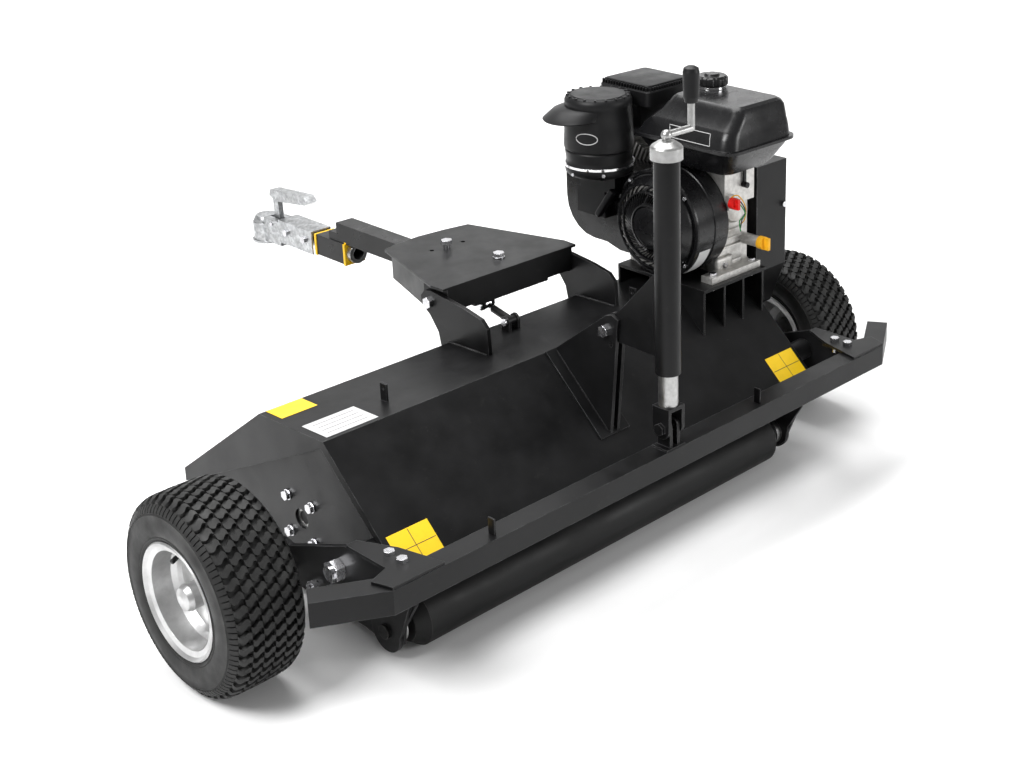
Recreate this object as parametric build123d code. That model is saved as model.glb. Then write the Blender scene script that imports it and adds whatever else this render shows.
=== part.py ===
from build123d import *
import math
import os

# Towed flail mower. Millimetres, +X to the machine's right, +Y forward, +Z up.
# The origin is on the ground, below the middle of the machine's outline.

# ---- driving dimensions -------------------------------------------------
AXLE_Y = -368.5            # wheel axle line; every y below is given from this line
TYRE_R = 203.0             # 16 x 6.50-8 turf tyre
TYRE_HALF_WIDTH = 82.0
WHEEL_X = 848.0            # wheel centre plane
RIM_LIP_R = 119.0
DECK_X = 620.0             # half width over the end cheeks
SIDE_X = 590.0             # outer face of the side plates
SHEET = 4.0
PLATE = 6.0
FRONT_LIP = (494.0, 189.0)      # deck profile, (y, z): lower front lip
FRONT_BEND = (167.0, 424.0)     # front slope meets the top panel
REAR_BEND = (-51.0, 434.0)      # top panel meets the rear slope
REAR_LIP = (-285.0, 220.0)      # lower end of the rear slope
CHEEK_NOSE_Z = 157.0            # lower front corner of the end cheeks
ROTOR_Y, ROTOR_Z = 94.0, 201.0
ROTOR_TUBE_R = 51.0
SHAFT_R = 15.0                  # rotor and roller shafts
SHAFT_FIT_R = 15.05
FLAIL_PIN_R = 75.0
FLAIL_LENGTH = 100.0
FLAILS_PER_ROW = 8
BEARING_PITCH = 83.0            # flange bearing bolt square
ROLLER_Y, ROLLER_Z, ROLLER_R = -180.0, 60.0, 60.0
ROLLER_HALF = 530.0
BEAM_Y, BEAM_Z, BEAM_SIDE = -379.0, 281.0, 50.0
BEAM_BEND_X = 731.0
WING_TIP = (856.0, -327.0)
ARM_X = 700.0                   # outer face of the side arms
ARM_T = 12.0
SWING_Y, SWING_Z = -195.0, 252.0     # deck pivot of the swing frame
JACK_PIN_Y, JACK_PIN_Z = -211.0, 522.0
JACK_Y = -380.0
JACK_TUBE_R, JACK_INNER_R = 27.0, 21.0
CLEVIS_Z = 352.0
CRANK_Y, CRANK_Z = 16.0, 607.0       # engine crankshaft line
PLATFORM_Z = 474.0                   # top of the engine platform
BLOWER_R = 132.0                     # blower housing round the crank axis
BLOWER_X = (386.0, 492.0)            # its outer face and its open back
LOBE_X = 404.0                       # face of the part that covers the cylinder
HEAD_LEAN = 25.0                     # cylinder axis above level, degrees
TANK_SEAM_Z = 818.0
TANK_X = (380.0, 630.0)
TANK_Y = (-215.0, 104.0)
TANK_HEIGHT = 94.0                   # of the upper half, above the seam
CAP_X, CAP_Y, CAP_Z = 556.0, -5.0, 916.0    # fuel cap
CLEANER_X, CLEANER_Y, CLEANER_R = 357.0, 177.0, 84.0
GRIP_X, GRIP_Y, GRIP_Z = 360.0, 162.0, 634.0    # starter grip
ENGINE_PULLEY_R, ROTOR_PULLEY_R = 52.0, 62.0
PULLEY_X = 652.0                     # middle of both pulleys
BELT_STEP = 10.0                     # each belt's distance from that middle
GUARD_X0, GUARD_X1 = 622.0, 735.0
GUARD_LOW_X = 681.0                  # outer face of the guard beside the swing arm
HITCH_X = 70.0                       # middle of the hitch lugs
HITCH_HALF = 200.0                   # half the width over the hitch lugs
HITCH_PIN_Y, HITCH_PIN_Z = 232.0, 503.0
HITCH_TOP_Z = 548.0
DRAWBAR_X = 21.0
DRAWBAR_SIDE = 50.0
DRAWBAR_TOP_Z = 543.0
COUPLER_Z = 465.0                    # swivel pipe axis
BALL_Y, BALL_Z = 1108.0, 434.0       # centre of the 50 mm tow ball
BALL_SEAT_R = 25.5


# ---- small helpers ------------------------------------------------------
def block(x0, x1, y0, y1, z0, z1):
    size = Box(x1 - x0, y1 - y0, z1 - z0)
    return Pos((x0 + x1) / 2, (y0 + y1) / 2, (z0 + z1) / 2) * size


def rod_x(x0, x1, y, z, r):
    return Pos((x0 + x1) / 2, y, z) * (Rot(0, 90, 0) * Cylinder(r, x1 - x0))


def rod_y(y0, y1, x, z, r):
    return Pos(x, (y0 + y1) / 2, z) * (Rot(90, 0, 0) * Cylinder(r, y1 - y0))


def rod_z(z0, z1, x, y, r):
    return Pos(x, y, (z0 + z1) / 2) * Cylinder(r, z1 - z0)


def slab_x(points, x0, x1):
    """Flat plate: outline of (y, z) points, from x0 to x1."""
    face = Plane.YZ.offset(x0) * make_face(Polyline(*points, close=True))
    return extrude(face, amount=x1 - x0, dir=(1, 0, 0))


def slab_z(points, z0, z1):
    """Flat plate: outline of (x, y) points, from z0 to z1."""
    face = Plane.XY.offset(z0) * make_face(Polyline(*points, close=True))
    return extrude(face, amount=z1 - z0, dir=(0, 0, 1))


def slab_y(points, y0, y1):
    """Flat plate: outline of (x, z) points, from y0 to y1."""
    face = make_face(Polyline(*[(x, y0, z) for x, z in points], close=True))
    return extrude(face, amount=y1 - y0, dir=(0, 1, 0))


def spin_x(points, x, y, z, side=1):
    """Turned part about an X line: outline of (distance along, radius) points."""
    outline = Polyline(*[(along, radius, 0) for along, radius in points], close=True)
    body = revolve(make_face(outline), axis=Axis.X)
    if side < 0:
        body = mirror(body, about=Plane.YZ)
    return Pos(x, y, z) * body


def spin_z(points, x, y, z):
    """Turned part about a Z line: outline of (radius, height) points."""
    outline = Polyline(*[(radius, 0, height) for radius, height in points], close=True)
    return Pos(x, y, z) * revolve(make_face(outline), axis=Axis.Z)


def hex_x(x0, x1, y, z, flats):
    prism = extrude(RegularPolygon(flats / 2, 6, major_radius=False), amount=x1 - x0)
    return Pos(x0, y, z) * (Rot(0, 90, 0) * prism)


def hex_z(z0, z1, x, y, flats):
    prism = extrude(RegularPolygon(flats / 2, 6, major_radius=False), amount=z1 - z0)
    return Pos(x, y, z0) * prism


def bolt_x(x_head, x_end, y, z, r, head, flats):
    """Bolt along X whose head starts at x_head and points away from x_end."""
    step = 1 if x_end > x_head else -1
    a, b = sorted((x_head, x_head - step * head))
    c, d = sorted((x_head, x_end))
    return hex_x(a, b, y, z, flats) + rod_x(c, d, y, z, r)


def bolt_z(z_head, z_end, x, y, r, head, flats):
    """Bolt along Z with its head on top."""
    return hex_z(z_head, z_head + head, x, y, flats) + rod_z(z_end, z_head, x, y, r)


def both_sides(shape):
    return shape, mirror(shape, about=Plane.YZ)


def group(*shapes):
    return Compound(children=[s for s in shapes])


def along(p, q, t):
    return (p[0] + (q[0] - p[0]) * t, p[1] + (q[1] - p[1]) * t)


# ---- deck ---------------------------------------------------------------
def profile_offset(depth):
    """The deck profile moved inwards by depth: front lip, two bends, rear lip."""
    points = [FRONT_LIP, FRONT_BEND, REAR_BEND, REAR_LIP]
    lines = []
    for a, b in zip(points, points[1:]):
        length = math.dist(a, b)
        ny, nz = (b[1] - a[1]) / length, -(b[0] - a[0]) / length
        if nz > 0:
            ny, nz = -ny, -nz
        lines.append(((a[0] + ny * depth, a[1] + nz * depth), (b[0] - a[0], b[1] - a[1])))
    out = [lines[0][0]]
    for (p, d), (q, e) in zip(lines, lines[1:]):
        t = ((q[0] - p[0]) * e[1] - (q[1] - p[1]) * e[0]) / (d[0] * e[1] - d[1] * e[0])
        out.append((p[0] + d[0] * t, p[1] + d[1] * t))
    last_p, last_d = lines[-1]
    out.append((last_p[0] + last_d[0], last_p[1] + last_d[1]))
    return out


def deck_shell():
    outer = [FRONT_LIP, FRONT_BEND, REAR_BEND, REAR_LIP]
    inner = profile_offset(SHEET)
    shell = slab_x(outer + inner[::-1], -DECK_X, DECK_X)
    nose = (FRONT_LIP[0], CHEEK_NOSE_Z)
    cheek_points = [nose, FRONT_LIP, FRONT_BEND, REAR_BEND, (REAR_BEND[0] + 8, REAR_BEND[1] - 18)]
    for x0 in (-DECK_X, DECK_X - SHEET):
        shell += slab_x(cheek_points, x0, x0 + SHEET)
    lip_points = [REAR_BEND, REAR_LIP, (REAR_LIP[0] + 11, REAR_LIP[1] - 12), (REAR_BEND[0] + 8, REAR_BEND[1] - 18)]
    for x0 in (-DECK_X, DECK_X - SHEET):
        shell += slab_x(lip_points, x0, x0 + SHEET)
        shell -= rod_x(x0 - 1, x0 + SHEET + 1, SWING_Y, SWING_Z, 28)
    return shell


def side_plate():
    """Left side plate, 6 mm, inside the deck sheet, from the front lip to the roller."""
    front, bend, back, lip = profile_offset(SHEET)
    start = along(front, bend, 0.06)
    outline = [start, bend, back, lip, (-272.0, 150.0), (-232.0, 86.0), (-224.0, 44.0), (-202.0, 24.0),
               (-158.0, 24.0), (-100.0, 32.0), (330.0, 32.0), (start[0], 110.0)]
    x0, x1 = -SIDE_X, -SIDE_X + PLATE
    plate = slab_x(outline, x0, x1)
    plate -= rod_x(x0 - 1, x1 + 1, ROTOR_Y, ROTOR_Z, 22)
    plate -= rod_x(x0 - 1, x1 + 1, ROLLER_Y, ROLLER_Z, SHAFT_FIT_R)
    for y, z in bearing_bolt_places():
        plate -= rod_x(x0 - 1, x1 + 1, y, z, 6.2)
    return plate


def bearing_bolt_places():
    half = BEARING_PITCH / 2
    return [(ROTOR_Y + a, ROTOR_Z + b) for a in (-half, half) for b in (-half, half)]


def rotor_bearing():
    """Left flange bearing of the rotor, on the inner face of the side plate."""
    x0 = -SIDE_X + PLATE
    half = 54.0
    body = block(x0, x0 + 14, ROTOR_Y - half, ROTOR_Y + half, ROTOR_Z - half, ROTOR_Z + half)
    body += rod_x(x0, x0 + 32, ROTOR_Y, ROTOR_Z, 36)
    body -= rod_x(x0 - 1, x0 + 40, ROTOR_Y, ROTOR_Z, SHAFT_FIT_R)
    for y, z in bearing_bolt_places():
        body -= rod_x(x0 - 1, x0 + 15, y, z, 6.2)
    return body


def bearing_bolts():
    bolts = []
    for y, z in bearing_bolt_places():
        bolt = bolt_x(-SIDE_X - 3, -SIDE_X + PLATE + 24, y, z, 6, 8, 19)
        bolt += rod_x(-SIDE_X - 3, -SIDE_X, y, z, 12)
        bolts.extend(both_sides(bolt))
    return bolts


def roller_bracket():
    """Left end bracket of the roller: a rounded plate outside the side plate."""
    x0 = -SIDE_X - 8
    outline = [(-150.0, 200.0), (-262.0, 150.0), (ROLLER_Y - 44, ROLLER_Z), (ROLLER_Y + 44, ROLLER_Z - 4)]
    plate = slab_x(outline, x0, x0 + 8)
    plate += rod_x(x0, x0 + 8, ROLLER_Y, ROLLER_Z, 45)
    return plate - rod_x(x0 - 1, x0 + 9, ROLLER_Y, ROLLER_Z, SHAFT_FIT_R)


def roller_bearing():
    """Left bearing of the roller, on the inner face of the side plate."""
    x0 = -SIDE_X + PLATE
    ring = rod_x(x0, x0 + 16, ROLLER_Y, ROLLER_Z, 33)
    return ring - rod_x(x0 - 1, x0 + 17, ROLLER_Y, ROLLER_Z, SHAFT_FIT_R)


def swing_boss():
    """Left deck boss that the swing frame pivots on: a plate and a tube."""
    x_in = -SIDE_X - 8
    outline = [(-237.0, 212.0), (-153.0, 212.0), (-153.0, 290.0), (-205.0, 284.0), (-237.0, 254.0)]
    boss = slab_x(outline, x_in, -SIDE_X)
    boss += rod_x(-ARM_X + ARM_T + 0.5, x_in, SWING_Y, SWING_Z, 26)
    return boss - rod_x(-ARM_X, -SIDE_X + 1, SWING_Y, SWING_Z, SHAFT_FIT_R)


ENGINE_FEET = [(x, y) for x in (448.0, 588.0) for y in (-105.0, 133.0)]


def engine_platform():
    """Raised mounting plate on gussets, with a hole for each engine bolt."""
    z1 = PLATFORM_Z
    z0 = z1 - 8
    plate = block(388.0, 612.0, -132.0, 152.0, z0, z1)
    slope = (REAR_BEND[1] - REAR_LIP[1]) / (REAR_BEND[0] - REAR_LIP[0])
    for x in (388.0, 460.0, 528.0, 600.0):
        rear = (-130.0, REAR_BEND[1] + slope * (-130.0 - REAR_BEND[0]))
        points = [(-130.0, z0), rear, REAR_BEND, (-40.0, 433.5), (-40.0, z0)]
        plate += slab_x(points, x, x + 6)
    for y in (40.0, 146.0):
        base = deck_top_z(y)
        plate += slab_y([(388.0, z0), (388.0, base), (612.0, base), (612.0, z0)], y, y + 6)
    for x, y in ENGINE_FEET:
        plate -= rod_z(z0 - 1, z1 + 1, x, y, 5.5)
    return plate


def jack_gusset():
    """Two upright plates on a base strip along the rear slope."""
    foot = [REAR_BEND, (-220.0, 279.5), (-223.4, 283.2), (-54.4, 437.8)]
    body = slab_x(foot, -43.0, 43.0)
    up = [(-54.0, 437.0), (-221.0, 286.0), (-247.0, 540.0)]
    crown = [(-252.0 + 27 * math.cos(a) + 22, 540 + 22 * math.sin(a)) for a in (2.4, 1.6, 0.9)]
    for x in (-14.0, 6.0):
        body += slab_x(up + crown, x, x + 8)
    body -= rod_x(-20, 20, JACK_PIN_Y, JACK_PIN_Z, 8.2)
    body -= rod_x(-20, 20, JACK_PIN_Y + 18, JACK_PIN_Z - 12, 5)
    body -= rod_x(-20, 20, JACK_PIN_Y - 16, JACK_PIN_Z - 28, 5)
    return body


def jack_pin():
    pin = bolt_x(-14.0, 26.0, JACK_PIN_Y, JACK_PIN_Z, 8, 9, 24)
    return pin + hex_x(14.0, 24.0, JACK_PIN_Y, JACK_PIN_Z, 24)


def hitch_lug():
    """Left hitch lug: an upright plate from the front slope, with a curved front edge."""
    x0 = HITCH_X - HITCH_HALF
    outline = [(226.0, 532.0), (110.0, 519.0), (55.0, 508.0), (36.0, 490.0), (33.0, 430.6), (167.0, 424.3),
               (196.0, 403.5), (205.0, 440.0), (232.0, 474.0), (258.0, 492.0), (262.0, 512.0), (248.0, 528.0)]
    plate = slab_x(outline, x0, x0 + 10)
    return plate - rod_x(x0 - 1, x0 + 11, HITCH_PIN_Y, HITCH_PIN_Z, 8.2)


def mirror_hitch(shape):
    return mirror(shape, about=Plane.YZ.offset(HITCH_X))


def hitch_pins():
    x0 = HITCH_X - HITCH_HALF
    pin = bolt_x(x0, x0 + 26, HITCH_PIN_Y, HITCH_PIN_Z, 8, 9, 24)
    return pin, mirror_hitch(pin)


def guard_outline(grow):
    """Belt guard outline: a box round the clutch pulley, a half round about the rotor pulley."""
    top_half, low_r = 108.0 + grow, 88.0 + grow
    rear, front, top = CRANK_Y - top_half, CRANK_Y + 124.0 + grow, CRANK_Z + top_half
    low = []
    for step in range(7):
        a = math.radians(180 + 30 * step)
        low.append((ROTOR_Y + low_r * math.cos(a), ROTOR_Z + low_r * math.sin(a)))
    return [(front, 400.0), (front, top), (rear, top), (rear, 443.0 - grow)] + low


def guard_back():
    x1 = GUARD_X0 + 3
    plate = slab_x(guard_outline(0), GUARD_X0, x1)
    plate -= rod_x(GUARD_X0 - 1, x1 + 1, CRANK_Y, CRANK_Z, 24)
    plate -= rod_x(GUARD_X0 - 1, x1 + 1, ROTOR_Y, ROTOR_Z, 24)
    return plate + block(SIDE_X, GUARD_X0, 40.0, 150.0, 285.0, 315.0)


def guard_cover():
    """Folded cover, 3 mm; it is shallower below, where the swing arm passes outside it."""
    shell = slab_x(guard_outline(0), GUARD_X0 + 3, GUARD_X1)
    shell -= slab_x(guard_outline(-3), GUARD_X0 + 2, GUARD_X1 - 3)
    step_z = 330.0
    low = block(GUARD_LOW_X, GUARD_X1 + 1, -120, 200, 90, step_z)
    shell -= low
    lid = slab_x(guard_outline(0), GUARD_LOW_X - 3, GUARD_LOW_X)
    lid &= block(GUARD_LOW_X - 3, GUARD_LOW_X, -120, 200, 90, step_z)
    ledge_keep = slab_x(guard_outline(0), GUARD_LOW_X - 3, GUARD_X1)
    ledge = block(GUARD_LOW_X - 3, GUARD_X1, -120, 200, step_z, step_z + 3) & ledge_keep
    return shell + lid + ledge


def guard_bolts():
    """Two screws through the cover's side walls."""
    z = 600.0
    rear = rod_y(CRANK_Y - 115, CRANK_Y - 108, GUARD_X1 - 12, z, 7)
    front = rod_y(CRANK_Y + 124, CRANK_Y + 131, GUARD_X1 - 12, z, 7)
    return rear, front


def deck_tabs():
    """Two small slotted cable tabs welded to the top panel."""
    tabs = []
    for x in (-423.0, 300.0):
        z = 431.0
        tab = block(x, x + 5, 8.0, 28.0, z - 1.0, z + 38)
        tabs.append(tab - rod_x(x - 1, x + 6, 18.0, z + 27, 4))
    return tabs


# ---- rotor and roller ---------------------------------------------------
def flail_angles():
    return [math.radians(a) for a in (270, 30, 150)]


def pin_place(row):
    a = flail_angles()[row]
    return ROTOR_Y + FLAIL_PIN_R * math.cos(a), ROTOR_Z + FLAIL_PIN_R * math.sin(a)


def flail_x(index):
    pitch = 2 * 500.0 / (FLAILS_PER_ROW - 1)
    return -500.0 + pitch * index


def rotor_tube():
    tube = rod_x(-545, 545, ROTOR_Y, ROTOR_Z, ROTOR_TUBE_R)
    tube -= rod_x(-535, 535, ROTOR_Y, ROTOR_Z, ROTOR_TUBE_R - 8)
    for row in range(3):
        a = flail_angles()[row]
        py, pz = pin_place(row)
        for index in range(FLAILS_PER_ROW):
            for dx in (-29.0, 21.0):
                x0 = flail_x(index) + dx
                ear = rod_x(x0, x0 + 8, py, pz, 17)
                mid_y, mid_z = ROTOR_Y + 56 * math.cos(a), ROTOR_Z + 56 * math.sin(a)
                web = Pos(x0 + 4, mid_y, mid_z) * (Rot(math.degrees(a), 0, 0) * Box(8, 30, 34))
                ear += web - rod_x(x0 - 1, x0 + 9, ROTOR_Y, ROTOR_Z, ROTOR_TUBE_R - 4)
                tube += ear - rod_x(x0 - 1, x0 + 9, py, pz, 8.1)
    return tube


def rotor_shaft():
    left = rod_x(-582, -535, ROTOR_Y, ROTOR_Z, SHAFT_R)
    right = rod_x(535, PULLEY_X + 24, ROTOR_Y, ROTOR_Z, SHAFT_R)
    return left, right


def flail_bolts():
    bolts = []
    for row in range(3):
        py, pz = pin_place(row)
        for index in range(FLAILS_PER_ROW):
            x = flail_x(index)
            bolts.append(bolt_x(x - 29, x + 29, py, pz, 8, 7, 22) + hex_x(x + 29, x + 38, py, pz, 22))
    return group(*bolts)


def flail_row(row):
    """Eight flails that hang straight down from their bolts."""
    py, pz = pin_place(row)
    flails = []
    for index in range(FLAILS_PER_ROW):
        x = flail_x(index)
        eye = rod_x(x - 20, x + 20, py, pz, 14)
        blade = block(x - 20, x + 20, py - 6, py + 6, pz - FLAIL_LENGTH + 14, pz)
        foot_outline = [(py - 6, pz - 86), (py + 6, pz - 86), (py + 6, pz - 100), (py - 2, pz - 100)]
        hook = slab_x(foot_outline, x - 20, x + 20)
        flails.append(eye + blade + hook - rod_x(x - 21, x + 21, py, pz, 8.1))
    return group(*flails)


def pulley(y, z, r, bore_r):
    """Two-groove V pulley for 13 mm belts, bored to its shaft's size."""
    half = 22.0
    points = [(-half, bore_r), (-half, r + 3)]
    for centre in (-BELT_STEP, BELT_STEP):
        points += [(centre - 7, r + 3), (centre - 4.4, r - 9), (centre + 4.4, r - 9), (centre + 7, r + 3)]
    points += [(half, r + 3), (half, bore_r)]
    return spin_x(points, PULLEY_X, y, z)


def roller_drum():
    cone_end, cone_r = ROLLER_HALF + 26, 40.0
    points = [(-cone_end, 0), (-cone_end, cone_r), (-ROLLER_HALF, ROLLER_R), (ROLLER_HALF, ROLLER_R),
              (cone_end, cone_r), (cone_end, 0)]
    drum = spin_x(points, 0, ROLLER_Y, ROLLER_Z)
    wall = 36.0
    drum -= rod_x(wall - ROLLER_HALF, ROLLER_HALF - wall, ROLLER_Y, ROLLER_Z, ROLLER_R - wall)
    for a, b in ((-SIDE_X - 14, -cone_end), (cone_end, SIDE_X + 14)):
        drum += rod_x(a, b, ROLLER_Y, ROLLER_Z, SHAFT_R)
    return drum


# ---- swing frame, wheels ------------------------------------------------
def axle_beam():
    half = BEAM_SIDE / 2
    y0, y1 = BEAM_Y - half, BEAM_Y + half
    z0, z1 = BEAM_Z - half, BEAM_Z + half
    dx, dy = WING_TIP[0] - BEAM_BEND_X, WING_TIP[1] - y0
    length = math.hypot(dx, dy)
    nx, ny = -dy / length * BEAM_SIDE, dx / length * BEAM_SIDE
    inner_tip = (WING_TIP[0] + nx, WING_TIP[1] + ny)
    turn = math.atan2(dy, dx) / 2
    inner_bend = (BEAM_BEND_X - BEAM_SIDE * math.tan(turn), y1)
    right = [(BEAM_BEND_X, y0), WING_TIP, inner_tip, inner_bend]
    left = [(-x, y) for x, y in right[::-1]]
    return slab_z(right + left, z0, z1)


def side_arm():
    """Left side arm: from the beam to the axle, with the deck pivot between."""
    x0 = -ARM_X
    half = BEAM_SIDE / 2
    y_beam = BEAM_Y + half
    outline = [(y_beam, BEAM_Z + half), (-215.0, BEAM_Z + half), (-30.0, 236.0), (-10.0, 240.0), (26.0, 236.0),
               (36.0, 203.0), (26.0, 172.0), (-10.0, 163.0), (-120.0, 150.0), (-235.0, 200.0),
               (y_beam, BEAM_Z - half)]
    arm = slab_x(outline, x0, x0 + ARM_T)
    arm -= rod_x(x0 - 1, x0 + ARM_T + 1, SWING_Y, SWING_Z, 15.05)
    for y, z in ((-108.0, 183.0), (-150.0, 186.0)):
        arm -= rod_x(x0 - 1, x0 + ARM_T + 1, y, z, 6.2)
    return arm


def corner_plate():
    """Left corner plate on top of the beam, bolted to a cleat inside the arm."""
    z0 = BEAM_Z + BEAM_SIDE / 2
    outline = [(-BEAM_BEND_X, -403.0), (-615.0, -403.0), (-640.0, -300.0), (-676.0, -222.0),
               (-ARM_X, -222.0), (-ARM_X, -340.0), (-745.0, -358.0)]
    plate = slab_z(outline, z0, z0 + PLATE)
    cleat = block(-ARM_X + ARM_T, -646.0, -353.5, -285.0, z0 - 8, z0)
    body = plate + cleat
    for y in (-307.0, -345.0):
        body -= rod_z(z0 - 10, z0 + 10, -666.0, y, 6.2)
    return body


def frame_bolts():
    z0 = BEAM_Z + BEAM_SIDE / 2 + PLATE
    bolts = []
    for y in (-307.0, -345.0):
        bolts.extend(both_sides(bolt_z(z0, z0 - 30, -666.0, y, 6, 8, 19)))
    for y, z in ((-108.0, 183.0), (-150.0, 186.0)):
        bolt = rod_x(-ARM_X - 16, -ARM_X + ARM_T + 8, y, z, 6) + hex_x(-ARM_X - 10, -ARM_X, y, z, 19)
        bolt += hex_x(-ARM_X + ARM_T, -ARM_X + ARM_T + 8, y, z, 19)
        bolts.extend(both_sides(bolt))
    return group(*bolts)


def swing_pivot():
    """Left pivot bolt of the swing frame, fixed in the deck boss."""
    bolt = rod_x(-ARM_X - 26, -SIDE_X - 0.5, SWING_Y, SWING_Z, 15)
    bolt += hex_x(-ARM_X - 20, -ARM_X - 0.5, SWING_Y, SWING_Z, 40)
    return bolt


def stub_axle():
    """Left stub axle: a flange on the arm and a shaft through the wheel hub."""
    flange = rod_x(-ARM_X - 14, -ARM_X, 0, TYRE_R, 34)
    shaft = rod_x(-WHEEL_X - 58, -ARM_X - 14, 0, TYRE_R, 12.5)
    return flange + shaft


RIM_HALF = 78.0


def rim_outline():
    """Deep-dish steel rim, outward side positive along."""
    outer = [(-RIM_HALF, RIM_LIP_R), (-RIM_HALF + 6, RIM_LIP_R - 5), (-RIM_HALF + 9, 104.0), (-26.0, 102.0),
             (-20.0, 94.0), (24.0, 94.0), (30.0, 102.0), (RIM_HALF - 9, 104.0), (RIM_HALF - 6, RIM_LIP_R - 5),
             (RIM_HALF, RIM_LIP_R)]
    inner = [(RIM_HALF + 3, RIM_LIP_R - 3), (RIM_HALF - 3, RIM_LIP_R - 9), (RIM_HALF - 6, 99.0), (33.0, 98.0),
             (24.0, 90.0), (16.0, 86.0), (14.0, 62.0), (24.0, 44.0), (22.0, 26.0), (50.0, 26.0), (50.0, 12.6),
             (-50.0, 12.6), (-50.0, 26.0), (16.0, 26.0), (18.0, 42.0), (9.0, 60.0), (9.0, 88.0), (-20.0, 88.0),
             (-28.0, 98.0), (-RIM_HALF + 6, 99.0), (-RIM_HALF + 3, RIM_LIP_R - 9), (-RIM_HALF - 3, RIM_LIP_R - 3)]
    return outer, inner


def wheel_rim(side):
    outer, inner = rim_outline()
    return spin_x(outer + inner, side * WHEEL_X, 0, TYRE_R, side)


def tyre(side):
    """Turf tyre: the bead seats on the rim, the inside is hollow."""
    w = TYRE_HALF_WIDTH
    skin = [(68.4, 104.3), (71.2, 114.6), (76.6, 119.6), (w - 1.5, 128.0), (w, 148.0), (w - 2, 168.0),
            (w - 9, 185.0), (w - 20, 195.0), (42.0, 200.5)]
    hollow = [(50.0, 184.0), (w - 16, 172.0), (w - 10, 148.0), (w - 14, 122.0), (w - 18, 104.6)]
    other_skin = [(-a, r) for a, r in skin[::-1]]
    other_hollow = [(-a, r) for a, r in hollow[::-1]]
    outline = skin + [(0.0, TYRE_R)] + other_skin + other_hollow + [(0.0, 188.0)] + hollow
    return spin_x(outline, side * WHEEL_X, 0, TYRE_R, side)


def hub_cap(side):
    points = [(50.2, 0), (50.2, 27.0), (56.0, 27.0), (66.0, 22.0), (71.0, 10.0), (72.0, 0)]
    body = spin_x(points, 0, 0, 0)
    body -= rod_x(49, 62, 0, 0, 14)
    if side < 0:
        body = mirror(body, about=Plane.YZ)
    return Pos(side * WHEEL_X, 0, TYRE_R) * body


# ---- jack ---------------------------------------------------------------
def beam_lugs():
    """Two lugs on the beam; their wide hole gives the clevis bolt the play it needs."""
    z0 = BEAM_Z + BEAM_SIDE / 2
    lugs = block(-28.0, 28.0, JACK_Y - 22, JACK_Y + 22, z0, z0 + 4)
    for x in (-15.0, 7.0):
        lug = block(x, x + 8, JACK_Y - 18, JACK_Y + 18, z0, CLEVIS_Z + 2)
        lug += rod_x(x, x + 8, JACK_Y, CLEVIS_Z, 18)
        lugs += lug - rod_x(x - 1, x + 9, JACK_Y - 2.3, CLEVIS_Z + 0.8, 11.5)
    return lugs


def jack_outer_tube():
    tube = rod_z(472, 936, 0, JACK_Y, JACK_TUBE_R)
    tube -= rod_z(471, 930, 0, JACK_Y, JACK_INNER_R + 0.3)
    return tube - rod_z(929, 940, 0, JACK_Y, 8.1)


def jack_bracket():
    """Plate from the outer tube forward to the pivot between the jack gussets."""
    front = JACK_Y + JACK_TUBE_R - 3
    ring = [(JACK_PIN_Y + 20 * math.cos(a), JACK_PIN_Z + 20 * math.sin(a))
            for a in [math.radians(d) for d in (70, 30, -10, -50, -90)]]
    outline = [(front, 690.0), (-250.0, 578.0)] + ring + [(front, 500.0)]
    plate = slab_x(outline, -5.5, 5.5)
    plate -= rod_z(480, 710, 0, JACK_Y, JACK_TUBE_R - 2)
    return plate - rod_x(-6, 6, JACK_PIN_Y, JACK_PIN_Z, 8.05)


def jack_cap():
    """Turned cap on the outer tube, bored for the crank."""
    points = [(27.05, 930.0), (33.0, 930.0), (33.0, 954.0), (30.0, 958.0), (18.0, 966.0), (9.0, 968.0), (9.0, 936.0),
              (27.05, 936.0)]
    return spin_z(points, 0, JACK_Y, 0)


CRANK_ARM = 72.0
CRANK_ARM_Z = 978.0


def jack_crank():
    """Screw head, sideways arm and upright grip rod, bent from one bar."""
    z = CRANK_ARM_Z
    shaft = rod_z(460, z, 0, JACK_Y, 8)
    arm = rod_x(0, CRANK_ARM, JACK_Y, z, 7.5)
    upright = rod_z(z, 1030, CRANK_ARM, JACK_Y, 7.5)
    pin = rod_z(1029, 1096, CRANK_ARM, JACK_Y, 5)
    ends = Pos(0, JACK_Y, z) * Sphere(11) + Pos(CRANK_ARM, JACK_Y, z) * Sphere(7.5)
    return shaft + arm + upright + pin + ends


def jack_grip():
    points = [(5.1, 1030.5), (13.0, 1030.5), (16.0, 1042.0), (17.0, 1092.0), (15.0, 1100.0), (8.0, 1104.0), (0, 1105.0),
              (0, 1096.5), (5.1, 1096.5)]
    return spin_z(points, CRANK_ARM, JACK_Y, 0)


def jack_inner_tube():
    tube = rod_z(400, 880, 0, JACK_Y, JACK_INNER_R) - rod_z(410, 881, 0, JACK_Y, 14)
    return tube


def jack_clevis():
    top = block(-24, 24, JACK_Y - 23, JACK_Y + 23, 392, 400)
    cheeks = []
    for x in (-24.0, 16.0):
        cheek = block(x, x + 8, JACK_Y - 23, JACK_Y + 23, CLEVIS_Z, 392)
        cheek += rod_x(x, x + 8, JACK_Y, CLEVIS_Z, 23)
        cheeks.append(cheek - rod_x(x - 1, x + 9, JACK_Y, CLEVIS_Z, 8.05))
    return top + cheeks[0] + cheeks[1]


def clevis_bolt():
    bolt = bolt_x(-24.0, 34.0, JACK_Y, CLEVIS_Z, 8, 8, 24)
    return bolt + hex_x(24.0, 33.0, JACK_Y, CLEVIS_Z, 24)


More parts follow.
